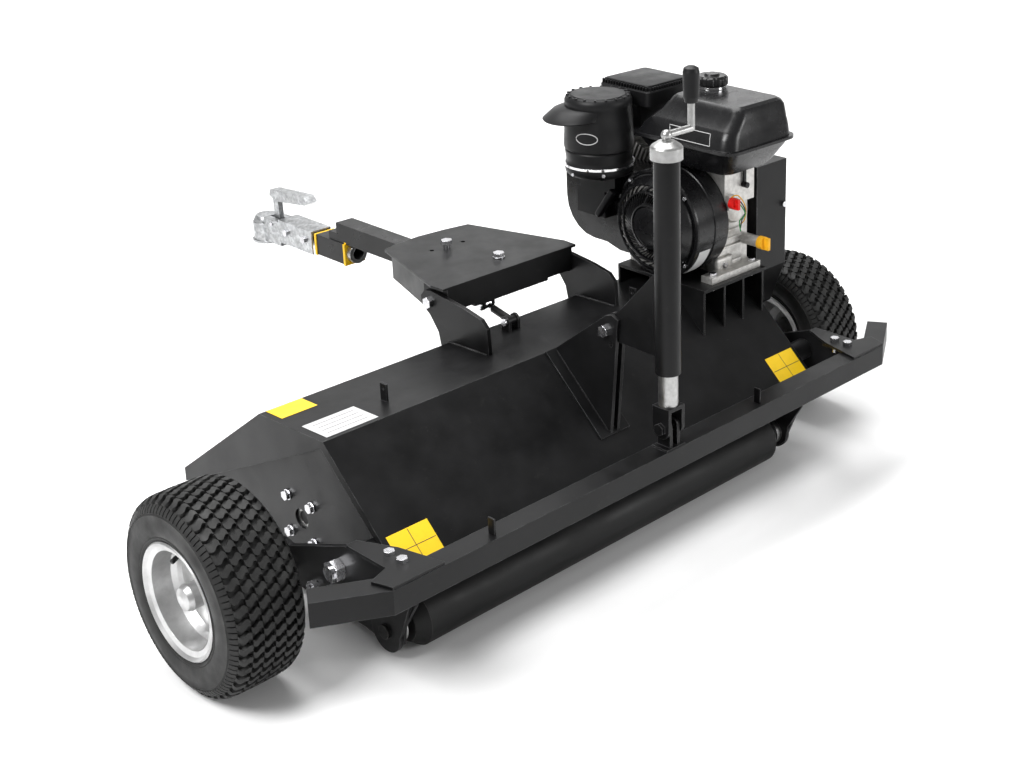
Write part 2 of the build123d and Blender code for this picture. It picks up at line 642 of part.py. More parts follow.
# ---- hitch --------------------------------------------------------------
def hitch_box():
    """Box that hinges between the lugs: top plate, rear and side walls."""
    left = HITCH_X - HITCH_HALF
    top_points = [(left - 2, 178.0), (left - 4, 219.0), (-57.0, 486.0), (-20.0, 497.0), (56.0, 504.0),
                  (132.0, 497.0)]
    mirrored = [(2 * HITCH_X - x, y) for x, y in top_points[:3]][::-1]
    z1 = HITCH_TOP_Z
    top = slab_z(top_points + mirrored, z1 - 6, z1)
    top -= rod_z(z1 - 7, z1 + 1, 14, 398, 6)
    top -= rod_z(z1 - 7, z1 + 1, 104, 393, 6)
    bottom_points = [(-44.0, 178.0), (-44.0, 470.0), (100.0, 470.0), (180.0, 400.0), (180.0, 178.0)]
    bottom = slab_z(bottom_points, z1 - 66, z1 - 60)
    rear = block(left + 11, 2 * HITCH_X - left - 11, 178, 186, z1 - 60, z1 - 6)
    cheek = block(left + 11, left + 19, 186, 262, z1 - 66, z1 - 6)
    wall = slab_z([(left + 11, 262), (left + 19, 262), (-48.0, 462.0), (-56.0, 462.0)], z1 - 66, z1 - 6)
    box = top + rear + bottom
    for piece in (cheek, wall):
        box += piece
        box += mirror_hitch(piece)
    for x in (left + 5, 2 * HITCH_X - left - 25):
        box -= rod_x(x, x + 20, HITCH_PIN_Y, HITCH_PIN_Z, 8.2)
    box -= rod_z(z1 - 70, z1 + 1, 88, 244, 8.2)
    box -= rod_z(z1 - 70, z1 + 1, 47, 383, 8.2)
    return box


def drawbar():
    """Square tube with a tongue plate that the two upright bolts hold in the hitch box."""
    half = DRAWBAR_SIDE / 2
    z1 = DRAWBAR_TOP_Z - 1.5
    z0 = z1 - DRAWBAR_SIDE
    x0, x1 = DRAWBAR_X - half, DRAWBAR_X + half
    bar = block(x0, x1, 262, 757, z0, z1)
    bar -= block(x0 + 4, x1 - 4, 261, 752, z0 + 4, z1 - 4)
    tongue = slab_z([(x1, 262), (x1, 420), (80, 420), (122, 300), (122, 206), (40, 206), (x0, 262)], z1 - 12, z1)
    bar += tongue
    bar -= rod_z(z0 - 1, z1 + 1, 88, 244, 8.2)
    return bar - rod_z(z0 - 1, z1 + 1, 47, 383, 8.2)


def hitch_bolts():
    z1 = HITCH_TOP_Z
    swing = bolt_z(z1 + 3, z1 - 76, 88, 244, 8, 10, 24) + rod_z(z1, z1 + 3, 88, 244, 14)
    index = bolt_z(z1 + 12, z1 - 76, 47, 383, 8, 10, 24) + rod_z(z1, z1 + 12, 47, 383, 8)
    return swing, index


SWIVEL_SIDE = 56.0


def swivel_housing():
    half = SWIVEL_SIDE / 2
    x0, x1 = DRAWBAR_X - half, DRAWBAR_X + half
    body = block(x0, x1, 728, 842, COUPLER_Z - half, COUPLER_Z + half - 1.5)
    body -= rod_y(727, 843, DRAWBAR_X, COUPLER_Z, 22.1)
    bracket = block(DRAWBAR_X - 25, DRAWBAR_X + 25, 757, 790, COUPLER_Z + half - 1.5, COUPLER_Z + half + 20)
    return body + bracket


def swivel_bushes():
    bushes = []
    for y0, y1 in ((720, 728), (842, 850)):
        flange = block(DRAWBAR_X - 30, DRAWBAR_X + 30, y0, y1, COUPLER_Z - 30, COUPLER_Z + 26)
        bushes.append(flange - rod_y(y0 - 1, y1 + 1, DRAWBAR_X, COUPLER_Z, 22.05))
    return bushes


def coupler_bolt_places():
    return (895.0, 975.0)


def swivel_pipe():
    x, z = DRAWBAR_X, COUPLER_Z
    pipe = rod_y(704, 1000, x, z, 22) + rod_y(704, 719.5, x, z, 26)
    pipe -= rod_y(703, 1001, x, z, 16)
    for y in coupler_bolt_places():
        pipe -= rod_x(x - 40, x + 40, y, z, 6.1)
    return pipe


LEVER_Y, LEVER_Z = 1046.0, BALL_Z + 38


def coupler_body():
    """Pressed ball coupler: a channel over the pipe and a hollow head over the ball."""
    x = DRAWBAR_X
    sleeve = block(x - 30, x + 30, 862, 1010, COUPLER_Z - 34, COUPLER_Z + 28)
    sleeve -= block(x - 26, x + 26, 861, 1004, COUPLER_Z - 35, COUPLER_Z + 24)
    neck = block(x - 27, x + 27, 1009, 1085, BALL_Z - 16, BALL_Z + 50)
    neck -= block(x - 22, x + 22, 1014, 1075, BALL_Z - 17, BALL_Z + 45)
    head = rod_z(BALL_Z - 22, BALL_Z + 30, x, BALL_Y, 38) + Pos(x, BALL_Y, BALL_Z + 24) * Sphere(36)
    head -= block(x - 60, x + 60, BALL_Y - 60, BALL_Y + 60, BALL_Z + 46, BALL_Z + 90)
    body = sleeve + neck + head + rod_z(BALL_Z - 24, BALL_Z - 18, x, BALL_Y, 42)
    body -= Pos(x, BALL_Y, BALL_Z) * Sphere(BALL_SEAT_R)
    body -= rod_z(BALL_Z - 60, BALL_Z, x, BALL_Y, BALL_SEAT_R)
    body -= block(x - 9, x + 9, 1012, 1080, BALL_Z + 24, BALL_Z + 80)
    for y in coupler_bolt_places():
        body -= rod_x(x - 40, x + 40, y, COUPLER_Z, 6.1)
    return body - rod_x(x - 40, x + 40, LEVER_Y, LEVER_Z, 5.05)


def coupler_bolts():
    x = DRAWBAR_X
    bolts = [rod_x(x - 30, x + 30, LEVER_Y, LEVER_Z, 5)]
    for y in coupler_bolt_places():
        bolts.append(bolt_x(x - 30, x + 42, y, COUPLER_Z, 6, 7, 17) + hex_x(x + 30, x + 38, y, COUPLER_Z, 17))
    return group(*bolts)


def coupler_lever():
    """Hand lever pinned across the neck of the coupler."""
    x = DRAWBAR_X
    foot = rod_x(x - 7, x + 7, LEVER_Y, LEVER_Z, 12)
    post = slab_x([(1036, LEVER_Z), (1056, LEVER_Z), (1064, 546), (1040, 552)], x - 7, x + 7)
    grip = slab_x([(1064, 546), (1060, 562), (905, 574), (890, 560), (905, 550), (1036, 534)], x - 15, x + 15)
    return foot + post + grip - rod_x(x - 20, x + 20, LEVER_Y, LEVER_Z, 5.05)


STRUT_A = (205.0, 466.0)        # upper strut pin, on the hitch box
STRUT_B = (120.0, 448.0)        # lower strut pin, on the top panel
STRUT_X = 10.0


def deck_top_z(y):
    """Height of the top panel's outer face."""
    fall = (REAR_BEND[1] - FRONT_BEND[1]) / (FRONT_BEND[0] - REAR_BEND[0])
    return FRONT_BEND[1] + (FRONT_BEND[0] - y) * fall


def strut_brackets():
    """Ears on the deck for the strut's lower pin."""
    ears = []
    y, z = STRUT_B
    for x in (STRUT_X - 16, STRUT_X + 10):
        foot = [(y - 14, deck_top_z(y - 14)), (y + 14, deck_top_z(y + 14)), (y + 14, z), (y - 14, z)]
        ear = slab_x(foot, x, x + 6) + rod_x(x, x + 6, y, z, 14)
        ears.append(ear - rod_x(x - 1, x + 7, y, z, 6.1))
    return ears


def strut_hanger():
    """Ears under the hitch box for the strut's upper pin."""
    ears = []
    for x in (STRUT_X - 16, STRUT_X + 10):
        ear = block(x, x + 6, STRUT_A[0] - 14, STRUT_A[0] + 14, STRUT_A[1], HITCH_TOP_Z - 66)
        ear += rod_x(x, x + 6, STRUT_A[0], STRUT_A[1], 13)
        ears.append(ear - rod_x(x - 1, x + 7, STRUT_A[0], STRUT_A[1], 6.1))
    return ears


def strut_frame(shape):
    """Turns a shape built along Y, from the lower pin, into the strut's slope."""
    slope = math.degrees(math.atan2(STRUT_A[1] - STRUT_B[1], STRUT_A[0] - STRUT_B[0]))
    return Pos(STRUT_X, STRUT_B[0], STRUT_B[1]) * (Rot(slope, 0, 0) * shape)


def strut_tube():
    """Lower half of the levelling strut: an eye and a sleeve."""
    body = rod_y(8, 60, 0, 0, 9) + rod_x(-9, 9, 0, 0, 11)
    body -= rod_y(16, 61, 0, 0, 6.3)
    return strut_frame(body - rod_x(-10, 10, 0, 0, 6.05))


def strut_rod():
    """Upper half: a threaded rod with an eye; its pin hole has play for the closed linkage."""
    length = math.dist(STRUT_A, STRUT_B)
    body = rod_y(24, length - 8, 0, 0, 6) + rod_x(-9, 9, length, 0, 12)
    return strut_frame(body - rod_x(-10, 10, length, 0, 7.0))


def strut_pin(y, z):
    """Headed pin across a pair of strut ears."""
    return rod_x(STRUT_X - 18, STRUT_X + 18, y, z, 6) + rod_x(STRUT_X - 22, STRUT_X - 16, y, z, 9)


# ---- engine -------------------------------------------------------------
def crankcase():
    """Cast crankcase with a machined side cover, feet and the shelf under the tank."""
    z0 = PLATFORM_Z
    x0, x1 = BLOWER_X[1] + 3, 602.0
    body = block(x0, x1, CRANK_Y - 95, CRANK_Y + 90, z0, CRANK_Z + 43)
    body += rod_x(x0, x1, CRANK_Y, CRANK_Z, 95)
    for y in (CRANK_Y - 135, CRANK_Y + 100):
        body += block(430, 606, y, y + 35, z0, z0 + 16)
    body += block(x0, x1, CRANK_Y - 110, CRANK_Y + 110, z0, z0 + 16)
    body += rod_x(x1, x1 + 16, CRANK_Y, CRANK_Z, 84)
    body += block(x0, x1, -100, -30, CRANK_Z + 40, TANK_SEAM_Z - 73)
    body += rod_y(-134, -60, OIL_CAP[0], OIL_CAP[1], 14)
    body += block(x0 + 2, x0 + 22, -112, -78, SWITCH_Z - 18, SWITCH_Z + 18)
    body -= rod_y(-101, -86, THROTTLE_X, THROTTLE_Z, 4.05)
    body -= rod_x(x0 + 12, x1 - 12, CRANK_Y, CRANK_Z, 84)
    body -= rod_x(x0 - 1, x1 + 17, CRANK_Y, CRANK_Z, CRANK_FIT_R)
    for x, y in ENGINE_FEET:
        body -= rod_z(z0 - 1, z0 + 17, x, y, 5.2)
    return body


OIL_CAP = (585.0, 545.0)        # oil filler (x, z)
CRANK_SHAFT_R, CRANK_FIT_R = 12.5, 12.55


def cylinder_head():
    """Finned barrel, head and rocker cover, leaning 25 degrees up from level."""
    width = 110.0
    whole = Pos(0, 0, 178) * Box(90, 96, 144)
    for k in range(9):
        whole += Pos(0, 0, 122 + 12 * k) * Box(width, 116, 5)
    whole += Pos(0, 0, 242) * Box(width, 112, 22)
    whole += Pos(0, 0, 266) * Box(92, 92, 28)
    return Pos(553, CRANK_Y, CRANK_Z) * (Rot(HEAD_LEAN - 90, 0, 0) * whole)


def crankshaft():
    """Crankshaft with the finned flywheel that blows the cooling air."""
    shaft = rod_x(398, PULLEY_X + 24, CRANK_Y, CRANK_Z, CRANK_SHAFT_R)
    disc = rod_x(412, 470, CRANK_Y, CRANK_Z, 104)
    disc -= rod_x(411, 440, CRANK_Y, CRANK_Z, 88)
    for k in range(16):
        a = 22.5 * k
        fin = Pos(0, 74, 0) * (Rot(20, 0, 0) * Box(30, 30, 4))
        disc += Pos(427, CRANK_Y, CRANK_Z) * (Rot(a, 0, 0) * fin)
    return shaft + disc


def lobe_outline(inset):
    """Side view of the shroud over the cylinder: (y, z) points."""
    top, front, low = 711.0 - inset, 345.0 - inset, 514.0 + inset
    round_r = 95.0 - inset
    corner = []
    for step in range(6):
        a = math.radians(-18 * step)
        corner.append((front - round_r + round_r * math.cos(a), low + round_r + round_r * math.sin(a)))
    step_up = 502.0 + inset
    return [(CRANK_Y, top), (front, top)] + corner + [(205.0, low), (160.0, step_up), (CRANK_Y, step_up)]


def blower_housing():
    """Fan shroud: a drum round the flywheel and a lobe that leads the air to the cylinder."""
    x0, x1 = BLOWER_X
    shell = rod_x(x0, x1, CRANK_Y, CRANK_Z, BLOWER_R) + slab_x(lobe_outline(0), LOBE_X, x1)
    shell -= rod_x(x0 + 5, x1 + 1, CRANK_Y, CRANK_Z, BLOWER_R - 5)
    shell -= slab_x(lobe_outline(5), LOBE_X + 5, x1 + 1)
    shell -= rod_x(x0 - 1, x0 + 6, CRANK_Y, CRANK_Z, 96)
    return shell - rod_x(LOBE_X - 1, LOBE_X + 6, GRIP_Y, GRIP_Z, 4.5)


def recoil_cover():
    """Round starter cover with a ring of air slots and a closed hub disc."""
    outer = [(352.0, 0.0), (352.0, 56.0), (360.0, 62.0), (360.0, 96.0), (368.0, 118.0), (386.0, 118.0)]
    inner = [(386.0, 114.0), (371.0, 114.0), (364.0, 94.0), (364.0, 60.0), (356.0, 54.0), (356.0, 0.0)]
    cover = spin_x(outer + inner, 0, CRANK_Y, CRANK_Z)
    for k in range(24):
        slot = Pos(0, 79, 0) * (Rot(25, 0, 0) * Box(14, 26, 7))
        cover -= Pos(362, CRANK_Y, CRANK_Z) * (Rot(15 * k, 0, 0) * slot)
    return cover


def recoil_grip():
    """T-shaped starter grip; the first length of its cord runs through the shroud."""
    bar = Rot(-54, 0, 0) * (Rot(90, 0, 0) * Cylinder(10, 92))
    return Pos(GRIP_X, GRIP_Y, GRIP_Z) * bar + rod_x(GRIP_X, 452, GRIP_Y, GRIP_Z, 4)


def tank_section(z, insets, radius, amount=0.0):
    """Rounded rectangle at height z, moved in on its -X, +X, -Y and +Y sides."""
    x0, x1 = TANK_X[0] + insets[0], TANK_X[1] - insets[1]
    y0, y1 = TANK_Y[0] + insets[2], TANK_Y[1] - insets[3]
    face = Pos((x0 + x1) / 2, (y0 + y1) / 2, z) * RectangleRounded(x1 - x0, y1 - y0, radius)
    return extrude(face, amount=amount, dir=(0, 0, 1)) if amount else face


def fuel_tank():
    """Two tapered halves joined at a flange, with the filler neck on top."""
    z = TANK_SEAM_Z
    rim = (8, 8, 8, 8)
    top = loft([tank_section(z, rim, 34), tank_section(z + TANK_HEIGHT, (66, 30, 34, 84), 26)])
    low = loft([tank_section(z - 72, (48, 48, 52, 52), 26), tank_section(z, rim, 34)])
    flange = tank_section(z - 3, (0, 0, 0, 0), 38, 6.0)
    return top + low + flange + rod_z(z + TANK_HEIGHT - 4, CAP_Z - 0.5, CAP_X, CAP_Y, 28)


def fuel_cap():
    points = [(0.0, 0.0), (39.0, 0.0), (39.0, 18.0), (36.0, 25.0), (20.0, 29.0), (0.0, 30.0)]
    return spin_z(points, CAP_X, CAP_Y, CAP_Z)


def air_cleaner():
    """Tall canister with a lid, on its base ring."""
    r = CLEANER_R
    points = [(0, 712.0), (r - 8, 712.0), (r - 2, 722.0), (r - 6, 738.0), (r - 2, 752.0), (r, 764.0), (r - 6, 880.0),
              (r - 4, 884.0), (r - 8, 898.0), (r - 20, 904.0), (0, 905.0)]
    return spin_z(points, CLEANER_X, CLEANER_Y, 0)


CHOKE_Y, CHOKE_Z = 215.0, 690.0


def intake_elbow():
    """Moulded carburettor cover in front of the shroud, and the duct up to the canister."""
    x0, x1 = 372.0, LOBE_X - 0.5
    body = block(x0, x1, 177, 274, 588, 655) + block(x0, x1, 142, 262, 655, 711.5)
    return body - rod_x(x0 - 1, x0 + 16, CHOKE_Y, CHOKE_Z, 4.05)


GUARD_BOX = (442.0, 604.0, 95.0, 262.0, 866.0, 915.0)    # muffler guard: x, y and z limits


def muffler():
    """Sheet box on a flange, with four posts that carry the guard."""
    x0, x1, y0, y1, z0, z1 = 452.0, 594.0, 130.0, 254.0, 786.0, 890.0
    wall = 3.0
    body = block(x0, x1, y0, y1, z0, z1)
    body -= block(x0 + wall, x1 - wall, y0 + wall, y1 - wall, z0 + wall, z1 - wall)
    body += block(520, 586, 150, 212, z0 - 18, z0)
    roof = GUARD_BOX[5] - wall
    for x in (x0 + 10, x1 - 22):
        for y in (y0 + 10, y1 - 22):
            body += block(x, x + 12, y, y + 12, z1, roof)
    return body


def muffler_guard():
    """Ventilated cover over the muffler, open underneath."""
    x0, x1, y0, y1, z0, z1 = GUARD_BOX
    shell = block(x0, x1, y0, y1, z0, z1) - block(x0 + 3, x1 - 3, y0 + 3, y1 - 3, z0 - 1, z1 - 3)
    pitch, width = 13.0, 6.5
    for k in range(11):
        x = x0 + 13 + k * pitch
        shell -= block(x, x + width, y0 - 1, y0 + 4, z1 - 18, z1 - 6)
        shell -= block(x, x + width, y1 - 4, y1 + 1, z1 - 18, z1 - 6)
        y = y0 + 15 + k * pitch
        shell -= block(x0 - 1, x0 + 4, y, y + width, z1 - 18, z1 - 6)
    return shell


THROTTLE_X, THROTTLE_Z = 560.0, 735.0


def throttle_lever():
    """Lever on the rear face of the tank shelf; it hangs from a Y pin."""
    x, z = THROTTLE_X, THROTTLE_Z
    arm = rod_y(-110, -101, x, z, 9) + block(x - 4, x + 4, -108, -103, z - 45, z)
    return arm + rod_y(-116, -101, x, z - 45, 7) + rod_y(-101, -88, x, z, 4)


def choke_lever():
    """Small lever on the intake duct, pinned along X; it points to the rear when open."""
    x1 = 371.5
    y, z = CHOKE_Y, CHOKE_Z
    arm = block(x1 - 7, x1, y - 36, y, z - 4, z + 4) + rod_x(x1 - 7, x1, y, z, 9)
    return arm + rod_x(x1 - 14, x1, y - 36, z, 6) + rod_x(x1, x1 + 14, y, z, 4)


SWITCH_X, SWITCH_Z = 506.0, 658.0


def stop_switch():
    """Round stop switch knob that turns on the engine's switch bracket."""
    x, z = SWITCH_X, SWITCH_Z
    return rod_y(-126, -112.3, x, z, 14) + block(x - 4, x + 4, -136, -126, z - 13, z + 13)


def oil_filler_cap():
    """Oil filler cap with its grip bar."""
    x, z = OIL_CAP
    return rod_y(-150, -134.3, x, z, 16) + block(x - 4, x + 4, -164, -150, z - 15, z + 15)


def engine_bolts():
    z0 = PLATFORM_Z
    return [bolt_z(z0 + 16, z0 - 22, x, y, 5, 7, 16) for x, y in ENGINE_FEET]


def belt_loop(x):
    """V-belt round both pulleys: straight runs tangent to two arcs."""
    def outline(grow):
        r1, r2 = ENGINE_PULLEY_R + grow, ROTOR_PULLEY_R + grow
        dy, dz = ROTOR_Y - CRANK_Y, ROTOR_Z - CRANK_Z
        base = math.atan2(dz, dy)
        lean = math.acos((r1 - r2) / math.hypot(dy, dz))

        def at(cy, cz, r, angle):
            return cy + r * math.cos(angle), cz + r * math.sin(angle)
        p1, p2 = at(CRANK_Y, CRANK_Z, r1, base + lean), at(ROTOR_Y, ROTOR_Z, r2, base + lean)
        q1, q2 = at(CRANK_Y, CRANK_Z, r1, base - lean), at(ROTOR_Y, ROTOR_Z, r2, base - lean)
        top = at(CRANK_Y, CRANK_Z, r1, base + math.pi)
        low = at(ROTOR_Y, ROTOR_Z, r2, base)
        edges = [Line(p2, p1), ThreePointArc(p1, top, q1), Line(q1, q2), ThreePointArc(q2, low, p2)]
        return Plane.YZ.offset(x - 5.0) * make_face(edges)
    loop = extrude(outline(2.5), amount=10, dir=(1, 0, 0))
    return loop - extrude(outline(-6.0), amount=10, dir=(1, 0, 0))


# ---- assembly -----------------------------------------------------------
def write(name, shape):
    export_step(Pos(0, AXLE_Y, 0) * shape, f"parts/{name}.step")


def main():
    os.makedirs("parts", exist_ok=True)
    tabs = deck_tabs()
    write("deck_shell", deck_shell() + tabs[0] + tabs[1])
    write("side_plates", group(*both_sides(side_plate())))
    write("flange_bearings", group(*both_sides(rotor_bearing()), *both_sides(roller_bearing())))
    write("deck_bolts", group(*bearing_bolts(), *engine_bolts(), *guard_bolts()))
    write("side_brackets", group(*both_sides(roller_bracket()), *both_sides(swing_boss())))
    write("pivot_bolts", group(jack_pin(), *hitch_pins(), *both_sides(swing_pivot()), strut_pin(*STRUT_B)))
    write("engine_platform", engine_platform())
    write("jack_gusset", jack_gusset())
    write("hitch_lugs", group(hitch_lug(), mirror_hitch(hitch_lug()), *strut_brackets()))
    write("guard_back", guard_back())
    write("guard_cover", guard_cover())
    write("drive_belts", group(*[belt_loop(PULLEY_X + step) for step in (-BELT_STEP, BELT_STEP)]))
    write("crankcase", crankcase())
    write("cylinder_head", cylinder_head())
    write("blower_housing", blower_housing())
    write("recoil_cover", recoil_cover())
    write("recoil_grip", recoil_grip())
    write("fuel_tank", fuel_tank())
    write("fuel_cap", fuel_cap())
    write("air_cleaner", air_cleaner())
    write("intake_elbow", intake_elbow())
    write("muffler", muffler())
    write("muffler_guard", muffler_guard())
    write("throttle_lever", throttle_lever())
    write("choke_lever", choke_lever())
    write("stop_switch", stop_switch())
    write("oil_filler_cap", oil_filler_cap())
    write("crankshaft", group(crankshaft(), pulley(CRANK_Y, CRANK_Z, ENGINE_PULLEY_R, CRANK_SHAFT_R)))
    write("rotor_tube", group(rotor_tube(), *rotor_shaft()))
    write("rotor_pulley", pulley(ROTOR_Y, ROTOR_Z, ROTOR_PULLEY_R, SHAFT_R))
    write("flail_bolts", flail_bolts())
    for row in range(3):
        write(f"flail_row_{row + 1}", flail_row(row))
    write("roller_drum", roller_drum())
    write("axle_beam", axle_beam() + beam_lugs())
    write("side_arms", group(*both_sides(side_arm()), *both_sides(corner_plate())))
    write("frame_bolts", frame_bolts())
    write("stub_axles", group(*both_sides(stub_axle())))
    for side, word in ((-1, "left"), (1, "right")):
        write(f"rim_{word}", wheel_rim(side))
        write(f"tyre_{word}", tyre(side))
        write(f"hub_cap_{word}", hub_cap(side))
    write("jack_outer_tube", jack_outer_tube() + jack_bracket())
    write("jack_cap", jack_cap())
    write("jack_crank", jack_crank())
    write("jack_grip", jack_grip())
    write("jack_inner_tube", jack_inner_tube())
    write("jack_clevis", group(jack_clevis(), clevis_bolt()))
    write("hitch_box", group(hitch_box(), *strut_hanger()))
    write("hitch_bolts", group(*hitch_bolts(), strut_pin(*STRUT_A)))
    write("drawbar", group(drawbar(), swivel_housing(), *swivel_bushes()))
    write("strut_tube", strut_tube())
    write("strut_rod", strut_rod())
    write("swivel_pipe", swivel_pipe())
    write("coupler_body", coupler_body())
    write("coupler_bolts", coupler_bolts())
    write("coupler_lever", coupler_lever())


main()
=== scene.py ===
import math
import random

import bmesh
import bpy
from mathutils import Matrix, Vector


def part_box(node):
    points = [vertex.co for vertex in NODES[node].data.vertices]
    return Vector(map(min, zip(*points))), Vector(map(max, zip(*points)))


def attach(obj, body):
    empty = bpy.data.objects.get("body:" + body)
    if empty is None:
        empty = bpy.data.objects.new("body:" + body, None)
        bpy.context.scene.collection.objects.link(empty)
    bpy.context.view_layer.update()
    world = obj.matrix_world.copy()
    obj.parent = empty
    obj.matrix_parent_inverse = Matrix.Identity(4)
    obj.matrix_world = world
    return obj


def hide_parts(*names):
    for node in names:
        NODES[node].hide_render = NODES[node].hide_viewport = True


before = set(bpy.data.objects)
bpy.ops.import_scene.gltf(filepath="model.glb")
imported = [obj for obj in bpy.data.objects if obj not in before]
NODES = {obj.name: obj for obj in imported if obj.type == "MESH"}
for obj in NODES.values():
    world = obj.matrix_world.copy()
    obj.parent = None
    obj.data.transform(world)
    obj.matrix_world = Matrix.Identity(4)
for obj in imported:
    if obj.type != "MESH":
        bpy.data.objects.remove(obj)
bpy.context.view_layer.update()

MM = 0.001
random.seed(7)


# ---- places read from the frame -----------------------------------------
def centre(node):
    lo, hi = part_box(node)
    return (Vector(lo) + Vector(hi)) / 2


def low(node):
    return Vector(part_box(node)[0])


def high(node):
    return Vector(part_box(node)[1])


# ---- mesh helpers -------------------------------------------------------
def piece(name, bm, material, body, smooth=35.0, replaces=()):
    """Turns a bmesh into a piece of the object that rides on a CAD body."""
    bmesh.ops.remove_doubles(bm, verts=bm.verts, dist=1e-6)
    bmesh.ops.recalc_face_normals(bm, faces=bm.faces)
    mesh = bpy.data.meshes.new(name)
    bm.to_mesh(mesh)
    bm.free()
    mesh.shade_smooth()
    mesh.set_sharp_from_angle(angle=math.radians(smooth))
    mesh.materials.append(material)
    obj = bpy.data.objects.new(name, mesh)
    bpy.context.scene.collection.objects.link(obj)
    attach(obj, body)
    if replaces:
        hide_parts(*replaces)
    return obj


def axes_for(axis):
    """Rotation whose local Z is the given axis letter or vector."""
    named = {"X": (1, 0, 0), "-X": (-1, 0, 0), "Y": (0, 1, 0), "-Y": (0, -1, 0),
             "Z": (0, 0, 1), "-Z": (0, 0, -1)}
    direction = Vector(named[axis]) if isinstance(axis, str) else Vector(axis)
    return direction.to_track_quat("Z", "Y").to_matrix().to_4x4()


def turned(bm, profile, at, axis, steps=64, ripple=None):
    """Adds a turned body: profile of (distance along axis, radius) points in metres."""
    turn = Matrix.Translation(Vector(at)) @ axes_for(axis)
    rings = []
    for along, radius in profile:
        ring = []
        for k in range(steps):
            a = 2 * math.pi * k / steps
            r = radius * (ripple(a, along) if ripple else 1.0)
            ring.append(bm.verts.new(turn @ Vector((r * math.cos(a), r * math.sin(a), along))))
        rings.append(ring)
    for first, second in zip(rings, rings[1:]):
        for k in range(steps):
            n = (k + 1) % steps
            bm.faces.new((first[k], first[n], second[n], second[k]))
    for ring in (rings[0], rings[-1]):
        if (ring[0].co - ring[steps // 2].co).length > 1e-5:
            bm.faces.new(ring)
    return rings


def soft_box(bm, lo, hi, bevel, matrix=None, segments=3):
    """Adds a box with rounded edges."""
    lo, hi = Vector(lo), Vector(hi)
    made = bmesh.ops.create_cube(bm, size=1.0)["verts"]
    size, mid = hi - lo, (lo + hi) / 2
    for v in made:
        v.co = Vector((v.co.x * size.x, v.co.y * size.y, v.co.z * size.z)) + mid
    if matrix is not None:
        bmesh.ops.transform(bm, matrix=matrix, verts=made)
    edges = list({e for v in made for e in v.link_edges})
    bmesh.ops.bevel(bm, geom=edges, offset=bevel, segments=segments, affect="EDGES", profile=0.6)


def hex_head(bm, at, axis, flats, height):
    """Adds a bolt head: chamfered hexagon on a washer face."""
    turned(bm, [(0, flats * 0.56), (height * 0.12, flats * 0.56)], at, axis, 24)
    r = flats / 2 / math.cos(math.pi / 6)
    turned(bm, [(height * 0.1, r), (height * 0.86, r), (height, r * 0.84)], at, axis, 6)


def smooth_path(points, count=10):
    """Catmull-Rom points through a short given route."""
    ends = [points[0]] + list(points) + [points[-1]]
    out = []
    for a, b, c, d in zip(ends, ends[1:], ends[2:], ends[3:]):
        a, b, c, d = Vector(a), Vector(b), Vector(c), Vector(d)
        for k in range(count):
            t = k / count
            out.append(0.5 * (2 * b + (c - a) * t + (2 * a - 5 * b + 4 * c - d) * t ** 2
                              + (3 * b - a - 3 * c + d) * t ** 3))
    out.append(Vector(points[-1]))
    return out


def tube(bm, path, radius, steps=12):
    """Adds a round tube along a path of points."""
    rings = []
    for i, p in enumerate(path):
        ahead = path[min(i + 1, len(path) - 1)] - path[max(i - 1, 0)]
        turn = ahead.to_track_quat("Z", "Y").to_matrix()
        r = radius(i / (len(path) - 1)) if callable(radius) else radius
        ring = []
        for k in range(steps):
            a = 2 * math.pi * k / steps
            ring.append(bm.verts.new(p + turn @ Vector((r * math.cos(a), r * math.sin(a), 0))))
        rings.append(ring)
    for first, second in zip(rings, rings[1:]):
        for k in range(steps):
            n = (k + 1) % steps
            bm.faces.new((first[k], first[n], second[n], second[k]))
    bm.faces.new(rings[0])
    bm.faces.new(rings[-1])


def loft(bm, rings):
    """Joins closed rings of equal point counts and caps both ends."""
    made = [[bm.verts.new(p) for p in ring] for ring in rings]
    count = len(made[0])
    for first, second in zip(made, made[1:]):
        for k in range(count):
            n = (k + 1) % count
            bm.faces.new((first[k], first[n], second[n], second[k]))
    bm.faces.new(made[0])
    bm.faces.new(made[-1])


def round_rect(lo, hi, z, radius, corner_steps=8):
    """Closed ring: a rectangle with round corners at height z."""
    ring = []
    for cx, cy, start in ((hi[0] - radius, hi[1] - radius, 0), (lo[0] + radius, hi[1] - radius, 90),
                          (lo[0] + radius, lo[1] + radius, 180), (hi[0] - radius, lo[1] + radius, 270)):
        for k in range(corner_steps + 1):
            a = math.radians(start + 90 * k / corner_steps)
            ring.append(Vector((cx + radius * math.cos(a), cy + radius * math.sin(a), z)))
    return ring


